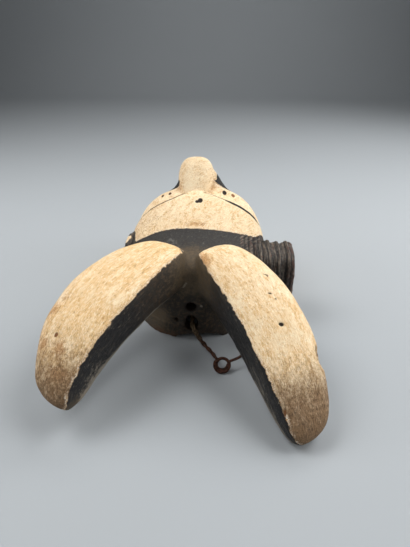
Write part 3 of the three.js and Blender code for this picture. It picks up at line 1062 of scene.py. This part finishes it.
        # Rubbed places, and a painted sheen on the horns' sides.
        rubbed = (field("rubbed") + scuff.about(1.6) + speck.about(0.8, 0.8)).step(0.4, 0.9)
        dark = g.coats(
            black,
            (band, field("band")),
            (soot, field("soot")),
            (self.dust, dusty * 0.85),
            (self.dark_brown, (brown + small.about(1.2)).step(0.35, 0.75) * 0.75),
            (hair, field("hair") * 0.9),
            # Painted shade: black deep in the hair's furrows.
            (self.black, field("groove_and_shade") * small.step(0.3, 0.6, 0.6, 0.95)),
            (self.bloom_and_sheen, rubbed * 0.6),
        )

        wood = g.coats(
            self.wood_dark,
            (self.wood, drawn_out(0.05, 0.5, 4, 0.6).step(0.35, 0.65)),
            (self.inside, field("inner") * patch.step(0.3, 0.6, 0.75, 1)),
        )
        mark = g.blend(self.mark, self.rust_brown, field("mark_brown"))
        brown_line, black_line = self.brow_lines(g, head, at, small.about(1.6))
        color = g.coats(
            dark,
            (paint, ragged.step(-0.3, 0.3)),
            (wood, (field("bare") + small.about(0.7)).step(0.4, 0.6)),
            (self.line_brown, brown_line * grit.step(0.3, 0.5, 0.6, 1)),
            (self.black, black_line),
            # Small marks are darker; the marks in the bores are painted shade.
            (mark, (field("mark") + grit.about(1.2)).step(0.3, -0.3)),
            # Painted shade: darker in concave creases.
            (self.dark_dirt_and_crease_shade, field("hollowed").step(0.15, 0.9) * 0.5),
        )
        height = fibre * 0.3 + speck * 0.45 + fine * 0.2 + ragged.step(-0.5, 0.5) * 0.35
        rough = (small + ragged.step(-0.4, 0.4) * 0.35).step(0.3, 0.9, 0.52, 0.9)
        return g.finish(color, rough, height, self.bump, self.specular)


@dataclass(frozen=True)
class RustyIron:
    """Rusted iron wire."""

    dark: Colour = srgb(42, 24, 18)
    rust: Colour = srgb(88, 50, 35)
    pale: Colour = srgb(124, 92, 74)
    olive: Colour = srgb(104, 92, 68)
    bump: float = 0.0004
    specular: float = 0.35
    metal: float = 0.35

    def material(self) -> Material:
        """Return the material: dark iron, rust in patches, and pale crumbs of it."""
        g = Graph("iron_wire")
        at = g.place(IN_MM)
        coarse, fine = g.noise(at, 0.5, 4, 0.65), g.noise(at, 2.4, 3, 0.6)
        color = g.coats(
            self.dark,
            (self.rust, coarse.step(0.38, 0.62)),
            (self.pale, (fine + coarse * 0.4).step(0.72, 0.9) * 0.7),
            (self.olive, g.attribute("olive") * fine.step(0.3, 0.6)),
        )
        rough = fine.step(0.3, 0.7, 0.6, 0.85)
        return g.finish(color, rough, fine * 0.7 + coarse * 0.3, self.bump, self.specular, self.metal)


@dataclass(frozen=True)
class PaleFloor:
    """Plain pale grey card."""

    tone: Colour = srgb(170, 175, 179)
    unevenness: float = 0.03
    rough: float = 0.85
    bump: float = 0.0001
    specular: float = 0.15

    def material(self) -> Material:
        """Return the material: one pale grey with a trace of unevenness."""
        g = Graph("pale_floor")
        soft = g.noise(g.place(), 3.0, 2, 0.5)
        low = (*(v * (1 - self.unevenness) for v in self.tone[:3]), 1.0)
        return g.finish(g.blend(low, self.tone, soft), self.rough, soft, self.bump, self.specular)


# The whole pieces


@dataclass
class Carving:
    """The mask's one piece of wood: head, nose, lips, horns and hair rolls, hollowed and pierced.

    A stain has its place, radius and strength, a scrape its two ends and breadth, and a chalky spot its place in
    plan and radius. A mark is a small dark place: a pit, a blind hole, a dot of paint, or painted shade inside a
    hole through the wood. It has its place, its three radii, its depth and how brown it is. The eyes' paint has
    its middle and half sizes.
    """

    head: Head
    nose: Nose
    lips: Lips
    horns: Sequence[Horn]
    rolls: HairRolls
    openings: Openings
    finish: PaintedWood
    voxel: float = 1.4
    unseen_deep: float = 4.0
    unseen_low: float = 0.3
    kept: float = 0.72
    skin: float = 6.0
    rim_top: float = 15.2
    rim_turn: float = 40.0
    stains: Sequence[tuple[Point, float, float]] = (
        ((-100, -55, 70), 7, 0.6), ((-93, -45, 76), 6, 0.5), ((-62, -8, 88), 6, 0.3), ((-56, -88, 63), 4, 0.45),
        ((-103, -80, 58), 6, 0.7), ((-88, -86, 60), 6, 0.75), ((-84, -101, 48), 8, 0.5), ((13.6, -4.8, 88.3), 7, 0.7),
        ((9, 2, 89), 6, 0.6), ((-92, -100, 45), 12, 0.35),
    )
    scrapes: Sequence[tuple[Point, Point, float]] = (
        ((-7.2, 0.9, 59.4), (-4.3, 0.4, 63.9), 1.2), ((8.8, 1.6, 38.9), (9.6, 1.6, 38.2), 1.3),
        ((-24, 33, 80), (-15, 29, 80), 1.0), ((-12, 27, 80), (-9, 22, 78), 1.2), ((2, 50, 84), (9, 49, 84), 0.8),
    )
    chalky: Sequence[Point] = ((-21, 35, 3.2), (-17, 31, 2.4), (-13, 26, 2.2))
    marks: Sequence[Row] = (
        (4.2, 81.8, 111, 2.5, 4.0, 8, 1.2, 0), (1.1, 79.8, 111, 1.9, 2.4, 8, 0.9, 0),
        (-29.6, 110.3, 107.6, 1.6, 3.0, 9, 0.8, 0.4), (-37.6, 110.8, 104.7, 1.5, 2.6, 9, 0.6, 0.3),
        (28.4, 111.5, 109.2, 2.3, 4.2, 9, 0.8, 0), (37.6, 111.0, 106.3, 2.0, 3.0, 9, 0.4, 0.9),
        (62.6, -16.4, 83.9, 2.2, 0.7, 3, 0.7, 0.3), (64.4, -16.9, 83.4, 0.7, 1.6, 3, 0.5, 0.3),
        (65.3, -34.2, 76.8, 1.7, 0.9, 3, 0.8, 0.2), (69.6, -38.4, 74.8, 0.8, 1.0, 3, 0.5, 0.4),
        (72.6, -57.8, 64.3, 2.1, 1.5, 4, 1.5, 0), (72.6, -109.1, 27.3, 1.0, 2.4, 3, 0.8, 0.6),
        # The last three marks are painted shade: dark paint inside the hole through the crown, the wire's notch and
        # the small hole beside it.
        (-93, -76.8, 64.1, 1.6, 1.9, 3, 0.9, 0.8), (-0.5, 4, 37.5, 6.6, 11, 6.0, 0, 0),
        (-0.5, 8, 19, 7.0, 11, 8.8, 0, 0), (-15, 2, 21, 2.8, 4, 2.6, 0, 0),
    )
    eye_paint: Row = (27, 137, 21, 17)

    def build(self) -> Object:
        """Make the piece, weather it and dress it.

        Returns:
            The finished mask.
        """
        piece = mesh_of("carved_mask", self.head.shell(0, 0, True))
        added = [self.head.rim_band(), self.nose.surface(), self.lips.surface()]
        added += [horn.surface() for horn in self.horns] + self.rolls.surfaces()
        carve(piece, added, "UNION")
        carve(piece, self.openings.surfaces(self.head), "DIFFERENCE")
        even_out(piece, self.voxel)
        points, _ = points_of(piece.data)
        thin_out(piece, self.inside(points, self.unseen_deep) | (points[:, 2] < self.unseen_low), self.kept)
        points, normals = points_of(piece.data)
        fields = self.paint_fields(points, curvature(piece.data, points, normals, 2))
        moved = points + normals * self.relief(points, fields)[:, None]
        moved[:, 2] = np.maximum(moved[:, 2], 0)
        dress(piece.data, moved, fields, self.finish.material(self.head))
        return piece

    def mark_distance(self, points: Array) -> tuple[Array, Array, Array]:
        """Return the distance to the nearest small mark's edge, negative inside it, its brownness, and the depth."""
        nearest = np.full(len(points), 30.0)
        deep, brown = np.zeros(len(points)), np.zeros(len(points))
        for *place, pit, tinge in self.marks:
            at, radii = place[:3], place[3:]
            share = np.linalg.norm((points - np.array(at)) / np.array(radii), axis=1)
            away = (share - 1) * min(radii)
            brown = np.where(away < nearest, tinge, brown)
            nearest = np.minimum(nearest, away)
            deep += pit * bell(share, 0.9)
        return nearest, brown, deep

    def paint_fields(self, points: Array, curve: Array) -> Fields:
        """Work out where each finish lies.

        Args:
            points: the surface's points.
            curve: how far each point stands out of its neighbours.

        Returns:
            Fields by name. cream is a distance in millimetres, positive on cream paint; mark is a distance, negative
            in a small mark; grain holds the place along and across the fibres; the rest go from 0 to 1.
        """
        x, y, z = points.T
        wide, tilted = np.abs(x), y + 0.25 * np.abs(x)
        above, outline = z - self.head.height(x, y), self.head.plan(x, y)[0]
        hollow = self.inside(points, self.skin)
        none = np.zeros(len(points))
        band = smooth(17, 27, tilted) * smooth(58, 68, z) * (y < 90)
        f = Fields(dirt=none, brown=none, rubbed=none, horny=none > 0, band=band, stain=self.face_stain_and_shade(points))
        f["cream"] = np.minimum(y - self.head.hairline(x), -self.ink(points))
        f["soot"] = (1 - band) * smooth(100, 90, y)
        f["grain"] = np.stack([x * 0.6 + y * 0.8, y * 0.6 - x * 0.8, z], -1)
        for horn in self.horns:
            horn.paint(f, points, above, ~hollow)
        f.lay(self.openings.chipped(points), cream=np.maximum(f["cream"], 2.0), dirt=0.45)
        for at, radius, strength in self.stains:
            f["stain"] = f["stain"] + strength * bell(distance(points, at), radius)

        # The hair: the ribbed lobes beside the head and the combed field above the right eye.
        plain = ~f["horny"]
        roll = plain & ((above > 0.6) | (outline > 1.004)) & (wide > 56) & (y > 18) & (y < 88) & (z > 3)
        ridged = (x > 44) & (x < 70) & (y < self.head.hairline(x)) & plain & ~roll
        lobe = bell(x + 67, 5) * bell(y - 58, 7) * bell(z - 78, 6)
        polar = np.stack([np.arctan2(z - 28, 53 - y) * 34, x * 1.4, np.hypot(z - 28, y - 53)], -1)
        f.lay(roll, cream=-6.0 + 12 * lobe * (lobe > 0.3), soot=np.where(x < 0, 0.7, 0.15), grain=polar)
        f.lay(roll, band=0.1, stain=0.4)
        f.lay(ridged, brown=0.1)
        f.lay(roll & (x > 0), brown=0.06 + 0.12 * smooth(84, 95, x))
        # The rim: sooty round the crown, bare wood round the face.
        rim = plain & (z < self.rim_top) & (outline > 0.96)
        sooty = 0.2 + 0.6 * bell(z - 2, 4) * smooth(-4, -20, x) * smooth(-44, -34, x)
        f.lay(rim, band=0.0)
        f.lay(rim & (y <= self.rim_turn), soot=1.0, brown=sooty, cream=-5.0)
        f["bare"] = np.where(hollow | (z < 0.6), 1.0, np.where(rim & (y > self.rim_turn), 0.75, 0.0))

        # Small marks, scrapes, worn edges with a painted highlight, painted shade in creases and in the hair's
        # furrows, and dust in the valley between the horns.
        f["mark"], f["mark_brown"], _ = self.mark_distance(points)
        f["chalk"] = sum(0.3 * bell(np.hypot(x - cx, y - cy), r) for cx, cy, r in self.chalky)
        for start, end, breadth in self.scrapes:
            off, run = points - np.array(start), np.subtract(end, start)
            share = np.clip(off @ run / (run @ run), 0, 1)
            away = np.linalg.norm(off - share[:, None] * run, axis=1)
            f["rubbed"] = np.maximum(f["rubbed"], 1.25 * bell(away, breadth))
        size = self.voxel * 0.12
        # Convex edges: worn places and a painted highlight.
        f["edge"] = smooth(0.2, 2.0, curve / size)
        # Painted shade: where the surface dips below its neighbours it is darkened.
        f["hollowed"] = smooth(0.2, 2.0, -curve / size) * (~hollow)
        # The rolls' edges are lighter: worn paint and a painted highlight.
        f.lay(roll, rubbed=0.25 * f["edge"])
        f["inner"], f["hair"] = hollow.astype(float), (roll | ridged).astype(float)
        # Painted shade: the furrows of the hair are darkened; the same field cuts them in relief.
        furrow = (x - 50.4 + 1.1 * grown(points, (4.5, 22, 22), 83)) / 4.4 * 2 * np.pi
        f["groove_and_shade"] = f["hair"] * smooth(44, 49, wide) * smooth(0.1, 0.85, -np.cos(furrow))
        valley = 0.5 * smooth(45, 62, z) * smooth(32, 22, tilted) * smooth(22, 8, np.abs(x - 3)) * (~hollow)
        dust = 0.6 * valley + 0.6 * smooth(-14, -30, x) * smooth(40, 22, z) * smooth(34, 14, y)
        dust += 0.2 * bell(y - 16, 40) * (z > 15)
        dust += 0.22 * smooth(40, 62, z) * smooth(26, 8, y) * smooth(30, 14, wide)
        f["dusty"] = np.clip(dust, 0, 1)
        gold = np.where(plain, 0.22, np.where(x < 0, 0.58, 0.4))
        f["gold"] = gold + 0.2 * bell(x + 2, 26) * bell(y - 62, 22) * plain
        f["ridged"], f["roll"] = ridged, roll
        return f

    def inside(self, points: Array, deep: float) -> Array:
        """Return True for the points that lie deeper than a given depth under the head's outside."""
        x, y, z = points.T
        return (self.head.plan(x, y, deep)[0] < 1) & (z < self.head.height(x, y) - deep)

    def ink(self, points: Array) -> Array:
        """Return the distance into black paint on the face, negative outside: the eyes and the lips."""
        x, y, z = points.T
        lips = self.lips
        at_x, at_y, half, high = self.eye_paint
        eye = 1 - np.hypot((np.abs(x - self.head.x) - at_x) / half, (y - at_y) / high)
        nose = (np.abs(x - self.nose.x) < 21.5) & (z > self.head.height(x, y) + 9)
        mouth = 1 - np.hypot(x / (lips.half + 4), (y - lips.y) / (lips.high + 4))
        return np.maximum(np.where((z > 80) & ~nose, eye * 13, -20.0), np.where(z > 75, mouth * 8, -20.0))

    def face_stain_and_shade(self, points: Array) -> Array:
        """Return how stained the face is, with painted shade: the worn middle of the forehead, stain and painted shade
        along the nose's sides, and more toward the bottom and on the left of the forehead.
        """
        x, y, z = points.T
        worn = 0.62 * bell(x - 2, 14) * bell(y - 52.5 - 0.004 * x * x, 3.2)
        nose = 0.3 * smooth(8, 17, np.abs(x + 2)) * bell(y - 125, 30) * smooth(104, 112, z)
        # Stain and painted shade in the crease where the nose meets the face.
        share = (y - self.nose.start) / (self.nose.end - self.nose.start)
        flank = np.abs(x - self.nose.x) - along(self.nose.half, share)
        nose += 0.38 * bell(flank - 0.3, 1.8) * smooth(98, 104, y) * smooth(150, 140, y) * bell(z - 113, 6)
        low = 0.4 * smooth(60, 30, z)
        return worn + nose + low + 0.12 + 0.35 * smooth(-24, -44, x) * smooth(100, 84, y)

    def relief(self, points: Array, fields: Fields) -> Array:
        """Return how far each point moves out: uneven carving, fine hair ridges, pits, nicks and a worn rim.

        Args:
            points: the surface's points.
            fields: the paint fields.

        Returns:
            Millimetres along the normal.
        """
        x, y, z = points.T
        groove_and_shade = fields["groove_and_shade"]
        move = 0.45 * weathered(points, 26, 3, 2) + 0.16 * weathered(points, 8, 7, 2)
        move += fields["horny"] * 0.12 * grown(fields["grain"], (26, 3.0, 5), 12)
        move += fields["ridged"] * smooth(44, 49, x) * (1.0 - 2.2 * groove_and_shade)
        coarse, fine = grown(points, (2.6, 14.0, 14.0), 81), grown(points, (5, 4, 4), 82)
        move += fields["roll"] * (0.4 - 1.0 * groove_and_shade + 0.3 * coarse + 0.25 * fine)
        move -= self.mark_distance(points)[2]
        move -= 0.45 * (smooth(0.3, 0.7, grown(points, 3, 31)) * fields["edge"])
        crown = smooth(24, 8, y) * smooth(45, 25, z) * (np.abs(x) < 50)
        move += crown * 0.5 * weathered(points, 5, 41, 3)
        rim = smooth(5, 0, z) * smooth(0.1, 0.7, grown(points, 7, 51))
        return move - 0.8 * rim * ~fields["horny"]


@dataclass
class HangingWire:
    """The bent iron wire: a stout twisted strand out of the crown, an eye, and a thinner strand behind the horn."""

    finish: RustyIron
    stout: Sequence[Point] = (
        (-1, 21, 31), (0, 17.5, 20), (1, 3, 14.5), (12.5, -18, 10.5), (20, -29, 10.3), (24.8, -38, 10.5),
    )
    thin: Sequence[Point] = (
        (34.1, -39, 9), (46, -32, 10.5), (56, -8, 12), (46, 24, 14), (37, 37, 14), (32, 44, 25),
    )
    thin_wire: float = 1.25
    twists: float = 4.5
    stout_wire: tuple[float, float] = (1.5, 1.15)
    stout_apart: tuple[float, float] = (1.1, 0.6)
    eye_at: Point = (29, -40, 7.4)
    eye_wire: float = 1.4
    eye_tilt: float = 56.0
    eye_turn: tuple[float, float] = (150, 726)
    eye_rise: tuple[float, float] = (0.5, -0.5)
    eye_radius: Stations = (
        (-60, 5.2), (0, 6.0), (110, 7.1), (200, 6.4), (290, 4.95), (430, 4.95), (576, 5.1), (640, 5.1),
    )
    voxel: float = 0.34

    @staticmethod
    def line(points: Sequence[Point], count: int = 420) -> Array:
        """Return an even walk along a smooth curve through the points.

        The curve is a Catmull-Rom spline whose knots are spaced by the square root of the chords, as a bent wire
        takes its corners.

        Args:
            points: the points it passes.
            count: how many places to return.

        Returns:
            The places, of shape (count, 3).
        """
        p = np.asarray(points, dtype=float)
        p = np.vstack([2 * p[0] - p[1], p, 2 * p[-1] - p[-2]])
        knots = np.concatenate([[0], np.cumsum(np.linalg.norm(np.diff(p, axis=0), axis=1) ** 0.5)])
        fine = np.linspace(knots[1], knots[-2] - 1e-9, 1200)
        i = np.clip(np.searchsorted(knots, fine, side="right") - 1, 1, len(knots) - 3)
        k = [knots[i + n - 1] for n in range(4)]
        q = [p[i + n - 1] for n in range(4)]

        def span(a: Array, b: Array, ta: Array, tb: Array) -> Array:
            """Return the straight blend of a and b between their knots."""
            return ((tb - fine) / (tb - ta))[:, None] * a + ((fine - ta) / (tb - ta))[:, None] * b

        for reach in (1, 2):
            q = [span(q[n], q[n + 1], k[n], k[n + reach]) for n in range(len(q) - 1)]
        curve = span(*q, k[1], k[2])
        run = np.concatenate([[0], np.cumsum(np.linalg.norm(np.diff(curve, axis=0), axis=1))])
        at = np.linspace(0, run[-1], count)
        return np.stack([np.interp(at, run, curve[:, n]) for n in range(3)], -1)

    @staticmethod
    def beside(path: Array, tangent: Array) -> Array:
        """Return a direction square to the path that turns little from one place to the next.

        It is the direction away from the path's middle, made square to the tangent, or from straight up where the
        path is nearly straight.
        """
        away = path - path.mean(0)
        bent = np.linalg.norm(path[0] - path[-1]) < 0.5 * np.linalg.norm(np.diff(path, axis=0), axis=1).sum()
        guide = away if bent else np.cross(np.broadcast_to(np.array([0.02, 0.05, 1.0]), tangent.shape), tangent)
        return unit(guide - np.sum(guide * tangent, -1, keepdims=True) * tangent)

    def tube(self, path: Array, radius: Array | float, around: int = 20) -> Surface:
        """Return a round tube along a path, with half-round ends.

        Args:
            path: places along the tube.
            radius: its radius, or one per place.
            around: points round the tube.

        Returns:
            The closed tube.
        """
        tangent = unit(np.gradient(path, axis=0))
        side = self.beside(path, tangent)
        up = np.cross(tangent, side)
        a = turns(around)
        ring = side[:, None] * np.cos(a)[None, :, None] + up[:, None] * np.sin(a)[None, :, None]
        swell = radius * closing(np.linspace(0, 1, len(path)), 60, 2)
        return capped(path[:, None] + ring * swell[:, None, None])

    def twisted(self) -> list[Surface]:
        """Return the stout strand's two wires: each a tube whose middle turns round the strand's line."""
        path = self.line(self.stout)
        tangent = unit(np.gradient(path, axis=0))
        side = unit(np.cross(np.array([0.0, 0.0, 1.0]), tangent))
        up = np.cross(tangent, side)
        share = np.linspace(0, 1, len(path))
        turn = 2 * np.pi * self.twists * share
        off = mix(*self.stout_apart, smooth(0.4, 1, share))
        made = []
        for start in (0.0, np.pi):
            c, s = np.cos(turn + start) * off, np.sin(turn + start) * off
            made.append(self.tube(path + side * c[:, None] + up * s[:, None], mix(*self.stout_wire, share)))
        return made

    def eye(self) -> Surface:
        """Return the eye: a coil of a turn and a half, wide in its first pass below and tighter in its second."""
        share = np.linspace(0, 1, 300)
        turn = mix(*self.eye_turn, share)
        out = along(self.eye_radius, turn - self.eye_turn[0])
        a, tilt, rise = np.radians(turn), math.radians(self.eye_tilt), mix(*self.eye_rise, share)
        x, flat = out * np.cos(a), out * np.sin(a)
        y = flat * math.cos(tilt) - rise * math.sin(tilt)
        z = flat * math.sin(tilt) + rise * math.cos(tilt)
        return self.tube(np.stack([x, y, z], -1) + np.array(self.eye_at), self.eye_wire)

    def build(self) -> Object:
        """Make the wire and dress it."""
        thin = self.tube(self.line(self.thin), self.thin_wire)
        piece = mesh_of("bent_wire", joined(self.twisted() + [self.eye(), thin]))
        even_out(piece, self.voxel)
        points, normals = points_of(piece.data)
        move = 0.1 * weathered(points, 2.4, 61, 3)
        olive = smooth(22, 6, points[:, 0]) * smooth(-26, -2, points[:, 1]) * 0.85
        dress(piece.data, points + normals * move[:, None], Fields(olive=olive), self.finish.material())
        return piece


@dataclass
class Studio:
    """The plain floor, the soft lights and the camera. A lamp has its place, side in metres and power in watts."""

    floor: PaleFloor
    camera_at: Point = (0.028, -0.3513, 0.253)
    camera_turn: Point = (60.0, 0.0, 2.5)
    sensor: float = 36.0
    lens: float = 411 / 547 * 36
    room: Colour = (0.93, 0.96, 1.0, 1)
    glow: float = 0.015
    horizon: float = 0.15
    haze_top: float = 0.4
    tint: Point = (1, 0.995, 0.985)
    lit: Point = (0, -0.05, 0.03)
    wall_lit: Point = (0, 2.5, 0.8)
    lamps: Sequence[tuple[str, Point, float, float]] = (
        ("left_light", (-0.6, 0, 1.0), 0.6, 7.2),
        ("right_light", (0.6, 0, 1.0), 0.6, 6.0),
        ("left_side_light", (-1.1, 0, 0.5), 0.6, 4.0),
        ("right_side_light", (1.1, 0, 0.5), 0.6, 5.8),
        ("right_back_light", (0.7, 0.7, 0.8), 0.6, 4.3),
        ("back_light", (0, 0.6, 0.9), 0.3, 1.6),
        ("front_light", (0, -1.0, 0.9), 0.6, 1.2),
        ("wall_light", (0, 1.1, 1.3), 0.8, 6.0),
    )

    def build_floor(self, near: float = -2.5, turn_at: float = 1.7, bend: float = 0.8, half: float = 3.0) -> None:
        """Make a floor that curves up far behind: a straight line, a quarter circle and an upright, drawn across.

        Args:
            near: y of its near edge.
            turn_at: y where it starts to rise.
            bend: the quarter circle's radius.
            half: half its width, and the upright's top.
        """
        flat = np.stack([np.linspace(near, turn_at, 30), np.zeros(30)], -1)
        turn = np.linspace(0, np.pi / 2, 24)
        curve = np.stack([turn_at + bend * np.sin(turn), bend * (1 - np.cos(turn))], -1)
        wall = np.stack([np.full(10, turn_at + bend), np.linspace(0.9, half, 10)], -1)
        line, across = np.vstack([flat, curve[1:], wall]), np.linspace(-half, half, 30)
        u, x = np.meshgrid(np.arange(len(line)), across, indexing="ij")
        points = np.stack([x, line[u][..., 0], line[u][..., 1]], -1).reshape(-1, 3)
        quads = between(len(line), len(across)).reshape(-1, len(across), 4)[:, :-1].reshape(-1, 4)
        ground = mesh_of("floor", Surface(to_carver(points), quads, NO_TRIS))
        ground.data.shade_smooth()
        ground.data.materials.append(self.floor.material())

    def add_lamp(self, name: str, at: Point, size: float, power: float) -> None:
        """Add a square soft light that faces the mask, or for the wall light the wall.

        Args:
            name: its name.
            at: its place.
            size: its side in metres.
            power: its power in watts.
        """
        light = bpy.data.lights.new(name, "AREA")
        light.shape, light.size, light.energy, light.color = "SQUARE", size, power, self.tint
        lamp = bpy.data.objects.new(name, light)
        toward = self.wall_lit if name == "wall_light" else self.lit
        ahead = unit(np.array(toward, dtype=float) - np.array(at, dtype=float))
        lamp.location = at
        lamp.rotation_euler = (math.acos(-ahead[2]), 0.0, math.atan2(ahead[0], -ahead[1]) + math.pi)
        bpy.context.scene.collection.objects.link(lamp)

    def build_room(self) -> None:
        """Set an even glow from above, brighter toward the horizon, so that reflections see a pale room."""
        world = bpy.data.worlds.new("pale_room")
        bpy.context.scene.world = world
        world.use_nodes = True
        nodes, links = world.node_tree.nodes, world.node_tree.links
        kinds = ("ShaderNodeTexCoord", "ShaderNodeSeparateXYZ", "ShaderNodeMapRange")
        toward, axes, haze = (nodes.new(kind) for kind in kinds)
        haze.interpolation_type = "SMOOTHSTEP"
        ramp = {"From Min": 0.0, "From Max": self.haze_top, "To Min": self.horizon, "To Max": self.glow}
        for name, value in ramp.items():
            haze.inputs[name].default_value = value
        nodes["Background"].inputs["Color"].default_value = self.room
        links.new(toward.outputs["Generated"], axes.inputs["Vector"])
        links.new(axes.outputs["Z"], haze.inputs["Value"])
        links.new(haze.outputs["Result"], nodes["Background"].inputs["Strength"])

    def build(self) -> None:
        """Set the floor, the lights, the pale room and the camera."""
        self.build_floor()
        for lamp in self.lamps:
            self.add_lamp(*lamp)
        self.build_room()
        scene = bpy.context.scene
        scene.view_settings.view_transform = "Standard"
        lens = bpy.data.cameras.new("camera")
        lens.sensor_width, lens.lens, lens.clip_start = self.sensor, self.lens, 0.01
        scene.camera = bpy.data.objects.new("camera", lens)
        scene.camera.location = self.camera_at
        scene.camera.rotation_euler = [math.radians(v) for v in self.camera_turn]
        scene.collection.objects.link(scene.camera)


LEFT_HORN = Horn(
    side=Side.LEFT,
    arris=((9, 29, 94), (-42, -43, 97), (-82, -113, 59), (-78, -117, 19)),
    outer=((-48, 41, 87), (-136, -52, 95), (-117, -99, 37), (-101, -106, 19)),
    thick=((-0.2, 38), (0, 38), (0.3, 37), (0.53, 35), (0.75, 29), (1, 19), (1.2, 14)),
    slant=0.16,
    close=0.6,
    dirty=(0.42, 0.92, 1.05),
    stained=0.16,
    lap=0.0,
)
RIGHT_HORN = Horn(
    side=Side.RIGHT,
    arris=((-6, 25, 95), (25, -22, 86), (58, -92, 52), (80, -127, 9)),
    outer=((38, 27, 88), (95, -22, 92), (117, -74, 47), (107, -118, 7)),
    thick=((-0.2, 39), (0, 40.5), (0.3, 45), (0.58, 40.5), (0.78, 30.5), (1, 15), (1.2, 10)),
    slant=0.05,
    close=0.25,
    dirty=(0.6, 0.86, 1.0),
    stained=0.04,
    lap=2.2,
)


def place(piece: Object, node: str, slot: str) -> None:
    """Let a piece ride on the mask's body and stand for a CAD node, and report it."""
    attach(piece, "root")
    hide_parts(node)
    piece.data.calc_loop_triangles()
    LOG.info("%s: %d triangles, for %s", piece.name, len(piece.data.loop_triangles), node)


def main() -> None:
    """Build the mask, its wire and the studio, in order."""
    logging.basicConfig(level=logging.INFO, format="%(name)s: %(message)s", stream=sys.stdout)
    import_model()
    Studio(PaleFloor()).build()
    carving = Carving(Head(), Nose(), Lips(), (LEFT_HORN, RIGHT_HORN), HairRolls(), Openings(), PaintedWood())
    place(carving.build(), "mask", "painted_wood")
    place(HangingWire(RustyIron()).build(), "hanging_wire", "iron_wire")


if __name__ == "__main__":
    main()
